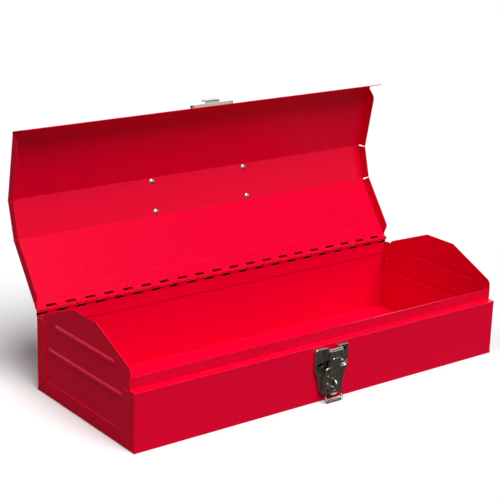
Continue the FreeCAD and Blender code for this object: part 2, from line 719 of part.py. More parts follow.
def handle_path():
    """Line of the handle's rod, lying to the rear of its pivot."""
    reach = RIDGE_MID_Y + HANDLE_LENGTH
    side = [
        V(BRACKET_X + BRACKET_HALF_X + HANDLE_END, RIDGE_MID_Y, HANDLE_PIVOT_Z),
        V(HANDLE_LEG_X, RIDGE_MID_Y, HANDLE_PIVOT_Z),
        V(HANDLE_LEG_X, reach, HANDLE_PIVOT_Z),
    ]
    return side + [V(-p.x, p.y, p.z) for p in side[::-1]]


def hang_handle(shape):
    """Turn the handle from the ridge's plane to where it hangs on the open lid."""
    shape.rotate(V(0, RIDGE_MID_Y, HANDLE_PIVOT_Z), V(1, 0, 0), HANDLE_TILT)
    return shape


def handle_rod():
    """Steel rod bent to a U, its ends turned outward through the brackets."""
    return hang_handle(wire_rod(handle_path(), HANDLE_BEND_R, HANDLE_R))


def handle_grip():
    """Moulded sleeve round the rod's middle, with a collar at each end."""
    y = RIDGE_MID_Y + HANDLE_LENGTH
    z = HANDLE_PIVOT_Z
    sleeve = rod_x(y, z, GRIP_R - COLLAR_PROUD, -GRIP_HALF, GRIP_HALF)
    ends = [rod_x(y, z, GRIP_R, -GRIP_HALF, -GRIP_HALF + COLLAR)]
    ends.append(mirrored_x(ends[0]))
    grip = joined([sleeve] + ends)
    return hang_handle(grip.cut(rod_x(y, z, HANDLE_R, -HALF_L, HALF_L)))


def open_lid(shape):
    """Swing a piece of the closed lid to where it stands open."""
    shape.rotate(V(0, HINGE_Y, HINGE_Z), V(1, 0, 0), -LID_OPEN)
    return shape


def main():
    """Build every piece and write it to its own file."""
    left_end = end_panel()
    left_bracket = handle_bracket()
    lid_holes = Part.makeCompound([handle_holes(), catch_holes()])
    parts = {
        "body_wrap": body_wrap(latch_holes()),
        "end_panel_left": left_end,
        "end_panel_right": mirrored_x(left_end),
        "body_hinge_leaf": body_hinge_leaf(),
        "hinge_pin": hinge_pin(),
        "lid_shell": open_lid(lid_shell(lid_holes)),
        "lid_hinge_leaf": open_lid(lid_hinge_leaf()),
        "latch_base": latch_base(),
        "latch_base_rivets": latch_base_rivets(),
        "latch_staple": latch_staple(),
        "latch_pivot_pin": latch_pivot_pin(),
        "latch_lever": latch_lever(),
        "latch_bail": latch_bail(),
        "catch_plate": open_lid(catch_plate()),
        "catch_rivets": open_lid(catch_rivets()),
        "handle_bracket_right": open_lid(mirrored_x(left_bracket)),
        "handle_bracket_left": open_lid(left_bracket),
        "handle_rivets": open_lid(handle_rivets()),
        "handle_rod": open_lid(handle_rod()),
        "handle_grip": open_lid(handle_grip()),
    }
    os.makedirs("parts", exist_ok=True)
    for name, shape in parts.items():
        shape.exportStep(f"parts/{name}.step")
        size = shape.BoundBox
        print(f"{name}: valid {shape.isValid()}, solids {len(shape.Solids)}, volume {shape.Volume:.1f}, "
              f"z {size.ZMin:.1f} to {size.ZMax:.1f}")


main()
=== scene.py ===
"""Hip-roof steel toolbox: red enamelled box and lid, piano hinge, plated draw latch and folding handle.

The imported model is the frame: every piece below sits on one of its bodies, in metres, +X along the length,
+Y to the hinge side, +Z up. Sizes in the classes are millimetres.
"""
import logging
import math
from collections.abc import Callable, Sequence
from dataclasses import dataclass
from enum import Enum
from functools import cache
from itertools import product

import bmesh
import bpy
from mathutils import Matrix, Vector


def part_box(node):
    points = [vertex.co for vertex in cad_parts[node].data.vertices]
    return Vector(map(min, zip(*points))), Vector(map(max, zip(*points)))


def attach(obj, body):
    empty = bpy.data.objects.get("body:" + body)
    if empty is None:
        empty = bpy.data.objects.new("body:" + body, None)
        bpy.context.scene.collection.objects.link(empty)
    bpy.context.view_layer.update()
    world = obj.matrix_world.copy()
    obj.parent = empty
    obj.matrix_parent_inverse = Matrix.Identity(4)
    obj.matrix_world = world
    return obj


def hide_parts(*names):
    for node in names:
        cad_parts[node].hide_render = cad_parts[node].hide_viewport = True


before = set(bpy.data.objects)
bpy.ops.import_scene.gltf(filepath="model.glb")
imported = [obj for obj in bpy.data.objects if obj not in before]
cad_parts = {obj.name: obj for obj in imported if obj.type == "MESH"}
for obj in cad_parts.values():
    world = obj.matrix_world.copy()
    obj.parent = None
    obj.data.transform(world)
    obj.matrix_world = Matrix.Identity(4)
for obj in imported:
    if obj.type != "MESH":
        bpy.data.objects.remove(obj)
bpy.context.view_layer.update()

LOG = logging.getLogger("toolbox")

MM = 0.001
NEAR = 0.02               # two places closer than this, mm, are the same place
FOLD_STEPS = 4            # faces round a fold
TIGHT_STEPS = 3           # faces round a fold of small radius
ROUNDING = 0.0051         # a height given to two decimals is at most this far off, mm
CORNER_STEPS = 5          # faces round a corner
CUT_EDGE = 0.22           # how far a sheared edge is rounded over, mm
STAMPED_EDGE = 0.18       # the same on the latch's pressings
HEAVY_EDGE = 0.3          # the same on the catch and the handle's straps
LOOKS_THAT_WAY = 0.5      # a face looks along a direction that its normal has this much of

Pair = tuple[float, float]
Triple = tuple[float, float, float]


class Kind(Enum):
    """What an edit-mode selection holds."""

    VERT = "VERT"
    EDGE = "EDGE"
    FACE = "FACE"


class Axis(Enum):
    """The frame's axes, by their place in a vector."""

    X = 0
    Y = 1
    Z = 2


class Body(Enum):
    """The moving bodies of the frame."""

    BOX = "body"
    LID = "lid"
    LEVER = "lever"
    BAIL = "bail"
    HANDLE = "handle"


# ---- flat geometry ----
def unit(a: Pair, b: Pair) -> Pair:
    """Return the unit vector from a to b."""
    length = math.dist(a, b)
    return ((b[0] - a[0]) / length, (b[1] - a[1]) / length)


def along(p: Pair, direction: Pair, distance: float) -> Pair:
    """Return the point at this distance from p."""
    return (p[0] + direction[0] * distance, p[1] + direction[1] * distance)


def turn_at(before: Pair, p: Pair, after: Pair) -> float:
    """Return the angle that a line turns by at p, in radians, positive to the left."""
    a = unit(before, p)
    b = unit(p, after)
    return math.atan2(a[0] * b[1] - a[1] * b[0], a[0] * b[0] + a[1] * b[1])


def offset_line(line: Sequence[Pair], distance: float) -> list[Pair]:
    """Move the corners of an open line to its left.

    Args:
        line: The corners, in order.
        distance: How far each straight run moves.

    Returns:
        The moved corners.
    """
    moved = []
    for i, p in enumerate(line):
        before = unit(line[max(i - 1, 0)], line[max(i, 1)])
        after = unit(line[min(i, len(line) - 2)], line[min(i + 1, len(line) - 1)])
        left = unit((0.0, 0.0), (-before[1] - after[1], before[0] + after[0]))
        lean = -before[1] * left[0] + before[0] * left[1]
        moved.append(along(p, left, distance / lean))
    return moved


# ---- the bench ----
class Workpiece:
    """One mesh on the bench, shaped in edit mode with places and sizes in millimetres."""

    def __init__(self, add: Callable[..., set[str]], **settings: object) -> None:
        """Add a primitive and open it for editing.

        Args:
            add: The primitive's operator.
            settings: What the operator is given.
        """
        bpy.ops.object.select_all(action="DESELECT")
        add(**settings)
        self.obj: bpy.types.Object = bpy.context.active_object
        bpy.ops.object.mode_set(mode="EDIT")

    # -- choosing --
    def edit(self) -> bmesh.types.BMesh:
        """Return the mesh that is open for editing."""
        return bmesh.from_edit_mesh(self.obj.data)

    def pick(self, kind: Kind, test: Callable[[Vector], bool]) -> None:
        """Select what lies wholly where a test holds, and nothing else.

        Args:
            kind: Vertices, edges or faces.
            test: Says whether a vertex at this place, in millimetres, belongs.
        """
        bpy.ops.mesh.select_all(action="DESELECT")
        bpy.ops.mesh.select_mode(type=kind.value)
        mesh = self.edit()
        parts = {Kind.VERT: mesh.verts, Kind.EDGE: mesh.edges, Kind.FACE: mesh.faces}[kind]
        for part in parts:
            ends = [part] if kind is Kind.VERT else part.verts
            if all(test(v.co / MM) for v in ends):
                part.select_set(True)
        mesh.select_flush_mode()
        bmesh.update_edit_mesh(self.obj.data)

    def pick_edges(self, test: Callable[[bmesh.types.BMEdge, Vector], bool]) -> None:
        """Select the edges for which a test of the edge and its middle, in millimetres, holds."""
        bpy.ops.mesh.select_all(action="DESELECT")
        bpy.ops.mesh.select_mode(type="EDGE")
        mesh = self.edit()
        for e in mesh.edges:
            if test(e, (e.verts[0].co + e.verts[1].co) / (2 * MM)):
                e.select_set(True)
        mesh.select_flush_mode()
        bmesh.update_edit_mesh(self.obj.data)

    def pick_at(self, place: Triple) -> None:
        """Select the vertex at a place."""
        target = Vector(place)
        self.pick(Kind.VERT, lambda v: (v - target).length < NEAR)

    def pick_all(self) -> None:
        """Select the whole mesh."""
        bpy.ops.mesh.select_all(action="SELECT")

    # -- shaping what is selected --
    def shift(self, x: float, y: float, z: float) -> None:
        """Move what is selected."""
        bpy.ops.transform.translate(value=(x * MM, y * MM, z * MM))

    def scale(self, factors: Triple, centre: Triple) -> None:
        """Scale what is selected about a place."""
        bpy.ops.transform.resize(value=factors, center_override=[c * MM for c in centre])

    def extrude(self, x: float, y: float, z: float) -> None:
        """Draw new faces out of the selected edges."""
        bpy.ops.mesh.extrude_edges_move(TRANSFORM_OT_translate={"value": (x * MM, y * MM, z * MM)})

    def pull(self, x: float, y: float, z: float) -> None:
        """Draw the selected faces out as one block."""
        bpy.ops.mesh.extrude_region_move(TRANSFORM_OT_translate={"value": (x * MM, y * MM, z * MM)})

    def roll(self, degrees: float, centre: Triple, steps: int) -> None:
        """Roll the selected edges round a line along X, the top going over to the rear."""
        bpy.ops.mesh.spin(
            steps=steps, angle=math.radians(degrees), center=[c * MM for c in centre], axis=(1, 0, 0)
        )

    def bevel(self, reach: float, steps: int = FOLD_STEPS, kind: Kind = Kind.EDGE) -> None:
        """Round the selected edges or corners.

        Args:
            reach: How far the round starts from the edge.
            steps: How many faces go round it.
            kind: Edges, or vertices for the corner of a flat shape.
        """
        affect = "VERTICES" if kind is Kind.VERT else "EDGES"
        bpy.ops.mesh.bevel(
            offset=reach * MM, offset_type="OFFSET", segments=steps, profile=0.5, affect=affect
        )

    def slice(self, z: float) -> None:
        """Cut the whole mesh along a level plane, keeping both sides."""
        self.pick_all()
        bpy.ops.mesh.bisect(plane_co=(0, 0, z * MM), plane_no=(0, 0, 1))

    def cap(self) -> None:
        """Close the selected ring with one face."""
        bpy.ops.mesh.edge_face_add()

    def move_corner(self, start: Triple, end: Triple) -> None:
        """Move the vertex at one place to another."""
        self.pick_at(start)
        here = next(v.co for v in self.edit().verts if v.select) / MM
        self.shift(*(Vector(end) - here))

    def round_corner(self, place: Triple, reach: float, steps: int = CORNER_STEPS) -> None:
        """Round the corner at a place, starting this far from it."""
        self.pick_at(place)
        self.bevel(reach, steps, Kind.VERT)

    # -- sheet --
    @classmethod
    def strip(cls, line: Sequence[Pair], x0: float, x1: float, columns: int = 1) -> "Workpiece":
        """Start a sheet whose section is an open line in Y and Z.

        Args:
            line: The corners of the section.
            x0: Its left end.
            x1: Its right end.
            columns: How many equal lengths it is divided into along X.

        Returns:
            The sheet, still without thickness.
        """
        piece = cls(bpy.ops.mesh.primitive_grid_add, x_subdivisions=columns, y_subdivisions=1, size=2)
        for row, (y, z) in zip((-1 / MM, 1 / MM), line[:2]):
            piece.pick(Kind.VERT, lambda v, row=row: abs(v.y - row) < 1 and abs(v.z) < NEAR)
            piece.shift(0, y - row, z)
        piece.pick_all()
        piece.scale(((x1 - x0) / 2 * MM, 1, 1), (0, 0, 0))
        piece.shift((x0 + x1) / 2, 0, 0)
        for last, p in zip(line[1:], line[2:]):
            piece.pick(Kind.EDGE, at_row(last))
            piece.extrude(0, p[0] - last[0], p[1] - last[1])
        return piece

    @classmethod
    def blank(cls, corners: Sequence[Triple], place: Callable[[Pair], Triple]) -> "Workpiece":
        """Cut a flat blank with round corners.

        Args:
            corners: Each corner's two coordinates and its radius.
            place: Puts a pair of coordinates in space.

        Returns:
            The blank, one face.
        """
        piece = cls(bpy.ops.mesh.primitive_circle_add, vertices=len(corners), radius=1, fill_type="NGON")
        starts = [v.co / MM for v in piece.edit().verts]
        points = [(u, v) for u, v, _ in corners]
        for start, point in zip(starts, points):
            piece.move_corner(start, place(point))
        for i, (u, v, radius) in enumerate(corners):
            if radius:
                turn = abs(turn_at(points[i - 1], (u, v), points[(i + 1) % len(points)]))
                piece.round_corner(place((u, v)), radius * math.tan(turn / 2))
        return piece

    def punch(self, holes: Sequence["Opening"]) -> None:
        """Cut openings in a flat blank."""
        self.pick_all()
        bpy.ops.mesh.delete(type="ONLY_FACE")
        for hole in holes:
            hole.draw(self)
        self.pick_all()
        bpy.ops.mesh.fill(use_beauty=True)
        bpy.ops.mesh.dissolve_limited(angle_limit=math.radians(1))

    def fold(self, line: Sequence[Pair], i: int, sheet: float, inside: float) -> None:
        """Round the fold at one corner of a strip's section.

        Args:
            line: The section, whose metal lies to its left.
            i: Which corner.
            sheet: The sheet's thickness.
            inside: The fold's inside radius.
        """
        turn = turn_at(line[i - 1], line[i], line[i + 1])
        radius = inside + sheet if turn > 0 else inside
        self.pick(Kind.EDGE, at_row(line[i]))
        self.bevel(radius * math.tan(abs(turn) / 2))

    def face_out(self, where: Callable[[Vector], bool], outward: Triple) -> None:
        """Turn the whole skin so that the faces at a place look outward."""
        self.pick_all()
        bpy.ops.mesh.normals_make_consistent(inside=False)
        mesh = self.edit()
        mesh.normal_update()
        sample = next(f for f in mesh.faces if all(where(v.co / MM) for v in f.verts))
        if sample.normal.dot(Vector(outward)) < 0:
            bpy.ops.mesh.flip_normals()

    # -- finishing --
    def modify(self, kind: str, **settings: object) -> None:
        """Add a modifier with its settings and apply it."""
        if self.obj.mode == "EDIT":
            bpy.ops.object.mode_set(mode="OBJECT")
        bpy.context.view_layer.objects.active = self.obj
        modifier = self.obj.modifiers.new(kind.title(), kind)
        for name, value in settings.items():
            setattr(modifier, name, value)
        bpy.ops.object.modifier_apply(modifier=modifier.name)

    def thicken(self, sheet: float, where: Callable[[Vector], bool], outward: Triple) -> None:
        """Give the skin its metal on its inner side.

        Args:
            sheet: The metal's thickness.
            where: Says which faces are sure to look outward.
            outward: The direction that they look in.
        """
        self.face_out(where, outward)
        self.modify("SOLIDIFY", thickness=sheet * MM, offset=-1, use_even_offset=True)

    def soften(self, width: float = CUT_EDGE, steps: int = 2) -> None:
        """Round over every sharp edge."""
        self.modify(
            "BEVEL", width=width * MM, segments=steps, limit_method="ANGLE", angle_limit=math.radians(40)
        )

    def swing(self, turn: Matrix) -> None:
        """Turn the finished mesh as a whole and keep its object at the origin."""
        bpy.ops.object.mode_set(mode="OBJECT")
        self.obj.data.transform(turn)

    def take(self, other: "Workpiece") -> None:
        """Join another finished workpiece to this one."""
        bpy.ops.object.select_all(action="DESELECT")
        other.obj.select_set(True)
        self.obj.select_set(True)
        bpy.context.view_layer.objects.active = self.obj
        bpy.ops.object.join()


@dataclass(frozen=True)
class Opening:
    """A slot, round hole or round-cornered window in a flat blank."""

    centre: Triple
    radius: float
    spread: Triple = (0.0, 0.0, 0.0)      # half the straight length along each axis
    across: Axis = Axis.X                 # the axis that the blank is square to
    points: int = 16

    def draw(self, piece: Workpiece) -> None:
        """Draw the opening's ring on a workpiece that is open for editing."""
        bpy.ops.mesh.select_all(action="DESELECT")
        half_step = Matrix.Rotation(math.pi / self.points, 4, "Z")
        lean = Matrix.Rotation(math.pi / 2, 4, "Y" if self.across is Axis.X else "X") @ half_step
        bpy.ops.mesh.primitive_circle_add(
            vertices=self.points, radius=self.radius * MM, fill_type="NOTHING",
            location=[c * MM for c in self.centre], rotation=lean.to_euler(),
        )
        centre = Vector(self.centre)
        for axis in range(3):
            if self.spread[axis]:
                for side in (-1, 1):
                    self.slide(piece, centre, axis, side)

    def slide(self, piece: Workpiece, centre: Vector, axis: int, side: int) -> None:
        """Move one half of the ring outward along an axis."""
        reach = self.radius + max(self.spread) + NEAR
        piece.pick(
            Kind.VERT,
            lambda v: self.flat(v) and (v - centre).length < reach * math.sqrt(2)
            and side * (v[axis] - centre[axis]) > 0 and self.holds(v),
        )
        step = [0.0, 0.0, 0.0]
        step[axis] = side * self.spread[axis]
        piece.shift(*step)

    def flat(self, v: Vector) -> bool:
        """Say whether a place is in the blank's plane."""
        return at_level(self.across, self.centre[self.across.value])(v)

    def holds(self, v: Vector) -> bool:
        """Say whether a place is on the opening's ring or inside it."""
        rest = [max(abs(v[i] - self.centre[i]) - self.spread[i], 0.0) for i in range(3)]
        rest[self.across.value] = 0.0
        return math.hypot(*rest) < self.radius + NEAR

    def press(self, piece: Workpiece, outward: float, steps: Sequence[Pair]) -> None:
        """Press the metal round the opening into a swelling, and close its top.

        Args:
            piece: The workpiece, open for editing.
            outward: The direction along the blank's axis, 1 or -1.
            steps: Each step's radius and its height over the blank.
        """
        axis = self.across.value
        level = self.centre[axis]
        now = self.radius
        height = 0.0

        def on_ring(v: Vector) -> bool:
            """Say whether a place is on the ring that was drawn last."""
            return abs(v[axis] - level) < NEAR and self.holds(v)

        for radius, rise in steps:
            piece.pick(Kind.EDGE, on_ring)
            step = [0.0, 0.0, 0.0]
            step[axis] = outward * (rise - height)
            piece.extrude(*step)
            level += step[axis]
            height = rise
            factors = [radius / now] * 3
            factors[axis] = 1.0
            for sides in product(*[(-1, 1) if d else (0,) for d in self.spread]):
                centre = [c + side * d for c, side, d in zip(self.centre, sides, self.spread)]
                piece.pick(
                    Kind.VERT,
                    lambda v: on_ring(v) and all(
                        side * (v[i] - self.centre[i]) >= 0 for i, side in enumerate(sides)
                    ),
                )
                piece.scale(factors, centre)
            now = radius
        piece.pick(Kind.EDGE, on_ring)
        piece.cap()


def at_row(p: Pair) -> Callable[[Vector], bool]:
    """Return a test for places on the line along X through (y, z)."""
    return lambda v: abs(v.y - p[0]) < NEAR and abs(v.z - p[1]) < NEAR


def at_level(axis: Axis, level: float) -> Callable[[Vector], bool]:
    """Return a test for places in the plane that crosses an axis at a level."""
    return lambda v: abs(v[axis.value] - level) < NEAR


def press_dimples(
    piece: Workpiece, rivet: Pair, front: float, radius: float, steps: Sequence[Pair]
) -> None:
    """Punch and press the dimples of two rivets, left and right of the middle of a flat face.

    Args:
        piece: The blank, square to Y.
        rivet: The right-hand rivet's X and Z.
        front: The blank's Y.
        radius: The dimples' radius at the face.
        steps: Each step's radius and depth.
    """
    dimples = [
        Opening((side * rivet[0], front, rivet[1]), radius, across=Axis.Y, points=24) for side in (-1, 1)
    ]
    piece.punch(dimples)
    for dimple in dimples:
        dimple.press(piece, 1, steps)


# ---- finishes ----
def linear(hex_colour: str) -> tuple[float, float, float, float]:
    """Turn an sRGB hex colour into the linear one that a shader reads."""
    values = [int(hex_colour[i:i + 2], 16) / 255 for i in (1, 3, 5)]
    return (*[v / 12.92 if v <= 0.04045 else ((v + 0.055) / 1.055) ** 2.4 for v in values], 1.0)


def add_node(
    tree: bpy.types.NodeTree,
    kind: str,
    values: dict[str, object] | None = None,
    links: dict[str, bpy.types.NodeSocket] | None = None,
    **settings: object,
) -> bpy.types.Node:
    """Add a shader node.

    Args:
        tree: The material's nodes.
        kind: The node's type, without "ShaderNode".
        values: Socket name to constant.
        links: Socket name to the output that feeds it.
        settings: The node's own properties.

    Returns:
        The node.
    """
    node = tree.nodes.new("ShaderNode" + kind)
    for name, value in settings.items():
        setattr(node, name, value)
    for name, value in (values or {}).items():
        node.inputs[name].default_value = value
    for name, source in (links or {}).items():
        tree.links.new(source, node.inputs[name])
    return node


@dataclass(frozen=True)
class Finish:
    """What every finish has: a name, a slot name, and a shader with a fine grain and lightened edges, partly
    wear and partly painted highlight.
    """

    name: str
    slot: str
    colour: str
    second: str                                  # what the colour slowly drifts to
    wear_and_highlight_colour: str                                    # the edge colour: partly wear, partly painted highlight
    roughness: float
    roughness_drift: float
    specular: float
    grain: float                                 # size of the surface's grain, mm
    grain_depth: float                           # mm
    grain_stretch: Triple = (1.0, 1.0, 1.0)      # the grain is this much finer along each axis
    metallic: float = 0.0
    ior: float = 1.5
    drift: float = 90.0                          # size of the slow colour drift, mm
    wear_and_highlight: float = 0.35                           # how much of the edge colour shows on an edge
    wear_and_highlight_width: float = 0.5                      # how far the lightened band reaches from an edge, mm
    wear_and_highlight_patch: float = 7.0                      # size of the patches that the edge band is broken into, mm
    wear_and_highlight_bends: Pair = (0.995, 0.86)             # cosines of the bends where the edge band starts and is full
    wear_and_highlight_spots: Pair = (0.35, 0.65)              # where the patches start and are full
    grain_levels: Pair = (0.3, 0.7)              # the grain's usual least and most
    dulling: float = 0.15                        # how much rougher an edge in the band is

    def material(self) -> bpy.types.Material:
        """Return the finish's material, the same one each time."""
        return build_material(self)


@cache
def build_material(finish: Finish) -> bpy.types.Material:
    """Build the nodes of a finish.

    Args:
        finish: What to build.

    Returns:
        The material.
    """
    material = bpy.data.materials.new(finish.name)
    material.use_nodes = True
    tree = material.node_tree
    tree.nodes.clear()
    place = add_node(tree, "TexCoord").outputs["Object"]
    stretched = add_node(tree, "Mapping", {"Scale": finish.grain_stretch}, {"Vector": place})
    drift, grain, broken = (
        add_node(
            tree, "TexNoise", {"Scale": 1 / (size * MM), "Detail": detail, "Roughness": harshness},
            {"Vector": source},
        ).outputs["Fac"]
        for size, detail, harshness, source in (
            (finish.drift, 3.0, 0.55, place),
            (finish.grain, 2.0, 0.5, stretched.outputs["Vector"]),
            (finish.wear_and_highlight_patch, 4.0, 0.65, place),
        )
    )
    # Every edge is lightened towards the edge colour: partly wear, partly painted highlight.
    rounded = add_node(tree, "Bevel", {"Radius": finish.wear_and_highlight_width * MM}, samples=4)
    facing = add_node(
        tree, "VectorMath", operation="DOT_PRODUCT",
        links={0: rounded.outputs["Normal"], 1: add_node(tree, "NewGeometry").outputs["Normal"]},
    )
    wear_and_highlight_edges, patchy, rough = (
        add_node(
            tree, "MapRange", {"From Min": start, "From Max": end, "To Min": least, "To Max": most},
            {"Value": source},
        ).outputs["Result"]
        for source, (start, end), least, most in (
            (facing.outputs["Value"], finish.wear_and_highlight_bends, 0.0, finish.wear_and_highlight),
            (broken, finish.wear_and_highlight_spots, 0.0, 1.0),
            (grain, finish.grain_levels, finish.roughness - finish.roughness_drift,
             finish.roughness + finish.roughness_drift),
        )
    )
    wear_and_highlight = add_node(tree, "Math", links={0: wear_and_highlight_edges, 1: patchy}, operation="MULTIPLY").outputs["Value"]
    shaded = add_node(
        tree, "Mix", {6: linear(finish.colour), 7: linear(finish.second)}, {"Factor": drift},
        data_type="RGBA",
    )
    colour = add_node(
        tree, "Mix", {7: linear(finish.wear_and_highlight_colour)}, {6: shaded.outputs[2], "Factor": wear_and_highlight}, data_type="RGBA"
    )
    dulled = add_node(
        tree, "Math", {1: finish.dulling}, {0: wear_and_highlight, 2: rough}, operation="MULTIPLY_ADD"
    )
    bump = add_node(
        tree, "Bump", {"Strength": 1.0, "Distance": finish.grain_depth * MM}, {"Height": grain}
    )
    shader = add_node(
        tree, "BsdfPrincipled",
        {"Metallic": finish.metallic, "IOR": finish.ior, "Specular IOR Level": finish.specular},
        {"Base Color": colour.outputs[2], "Roughness": dulled.outputs["Value"],
         "Normal": bump.outputs["Normal"]},
    )
    add_node(tree, "OutputMaterial", links={"Surface": shader.outputs["BSDF"]})
    return material


# Stoved gloss enamel: an even, strongly coloured film with faint orange peel that pulls thin over cut edges;
# its lighter edge colour is partly that and partly a painted highlight.
RED_ENAMEL = Finish(
    name="gloss_red_enamel", slot="red_paint", colour="#EC0030", second="#E30133", wear_and_highlight_colour="#F2575F",
    roughness=0.24, roughness_drift=0.05, specular=0.12, grain=2.6, grain_depth=0.005,
)
# Painted shade: a dark copy of the red paint for the faces behind the hinge's slots, where shadow falls.
SEAM_SHADE = Finish(
    name="seam_shade", slot="red_paint", colour="#5E0210", second="#4A010C", wear_and_highlight_colour="#6A0412",
    roughness=0.6, roughness_drift=0.1, specular=0.02, grain=2.6, grain_depth=0.005,
)
# Nickel on pressed steel: warm grey, mirror-like under fine rolling marks; its near-white edges are partly
# rubbed plating and partly a painted highlight.
NICKEL_PLATE = Finish(
    name="nickel_plated_steel", slot="nickel_steel", colour="#C8C5B9", second="#ABA99D", wear_and_highlight_colour="#F1EFE8",
    roughness=0.22, roughness_drift=0.08, specular=0.5, grain=1.6, grain_depth=0.02,
    grain_stretch=(1.0, 1.0, 0.18), metallic=1.0, drift=12.0, wear_and_highlight=0.95, wear_and_highlight_width=0.8, dulling=0.4,
)
# Zinc on drawn steel: cooler and duller, with a soft streak along the rod.
ZINC_PLATE = Finish(
    name="zinc_plated_steel", slot="zinc_steel", colour="#B9BABB", second="#9FA2A6", wear_and_highlight_colour="#E6E7E8",
    roughness=0.34, roughness_drift=0.09, specular=0.5, grain=1.4, grain_depth=0.015,
    grain_stretch=(0.25, 1.0, 1.0), metallic=1.0, drift=15.0, wear_and_highlight=0.5,
)
# Moulded polypropylene: soft black with the fine eroded texture of its mould.
BLACK_PLASTIC = Finish(
    name="moulded_black_polypropylene", slot="black_plastic", colour="#1B1B1C", second="#141415",
    wear_and_highlight_colour="#3A3A3B", roughness=0.48, roughness_drift=0.07, specular=0.5, ior=1.49, grain=1.1,
    grain_depth=0.06, drift=30.0, wear_and_highlight=0.5,
)


def dress(
    piece: Workpiece, name: str, body: Body, finish: Finish, nodes: Sequence[str], smooth: float = 34.0
) -> bpy.types.Object:
    """Shade, name and paint a finished piece, and let it ride on its body.

    Args:
        piece: The finished mesh.
        name: The piece's name.
        body: The body that it rides on.
        finish: Its finish.
        nodes: The frame's nodes that it stands for.
        smooth: Edges flatter than this, in degrees, are shaded smooth.

    Returns:
        The piece's object.
    """
    if piece.obj.mode == "EDIT":
        bpy.ops.object.mode_set(mode="OBJECT")
    bpy.ops.object.select_all(action="DESELECT")
    piece.obj.select_set(True)
    bpy.context.view_layer.objects.active = piece.obj
    bpy.ops.object.transform_apply(location=True, rotation=True, scale=True)
    bpy.ops.object.shade_smooth_by_angle(angle=math.radians(smooth))
    piece.modify("WEIGHTED_NORMAL", keep_sharp=True, weight=100)
    piece.obj.name = name
    piece.obj.data.name = name
    piece.obj.data.materials.clear()
    piece.obj.data.materials.append(finish.material())
    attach(piece.obj, body.value)
    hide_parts(*nodes)
    LOG.info("%s: %d faces, rides on %s", name, len(piece.obj.data.polygons), body.value)
    return piece.obj


def shade_seam(obj: bpy.types.Object, in_seam: Callable[[Vector, Vector], bool]) -> None:
    """Paint shade on the faces of a dressed piece that lie in a seam, where shadow falls behind the hinge's
    slots.

    Args:
        obj: The piece.
        in_seam: Takes a face's middle, mm, and its normal, and says whether it lies in the seam.
    """
    obj.data.materials.append(SEAM_SHADE.material())
    for face in obj.data.polygons:
        if in_seam(face.center / MM, face.normal):
            face.material_index = 1


def repaint(node: str, finish: Finish) -> None:
    """Give a piece of the frame that keeps its shape its real finish."""
    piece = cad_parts[node]
    for place in piece.material_slots:
        place.material = finish.material()
    LOG.info("%s: kept, in %s", node, finish.name)


# ---- box ----
def turn_flange(
    piece: Workpiece, x: float, run: tuple[Pair, Pair], ends: Sequence[Triple], bend: float
) -> None:
    """Fold one flange in across an end of a sheet.

    Args:
        piece: The sheet, open for editing.
        x: Where the end is.
        run: The two points of the section between which the flange starts.
        ends: The flange's two free corners, each with its radius.
        bend: Outside radius of the fold.
    """
    lows = [min(a, b) - NEAR for a, b in zip(*run)]
    highs = [max(a, b) + NEAR for a, b in zip(*run)]

    def on_run(v: Vector) -> bool:
        """Say whether a place is on the end of the run."""
        return abs(v.x - x) < NEAR and lows[0] < v.y < highs[0] and lows[1] < v.z < highs[1]

    piece.pick(Kind.EDGE, on_run)
    lift = [0.5 * (end - start) for start, end in zip(run[0], ends[0])]
    piece.extrude(0.0, *lift)
    for start, (y, z, _) in zip(run, ends):
        piece.move_corner((x, start[0] + lift[0], start[1] + lift[1]), (x, y, z))
    for (y, z, radius), other, start in zip(ends, ends[::-1], run):
        if radius:
            turn = abs(turn_at(start, (y, z), (other[0], other[1])))
            piece.round_corner((x, y, z), radius * math.tan(turn / 2))
    piece.pick(Kind.EDGE, on_run)
    piece.bevel(bend)


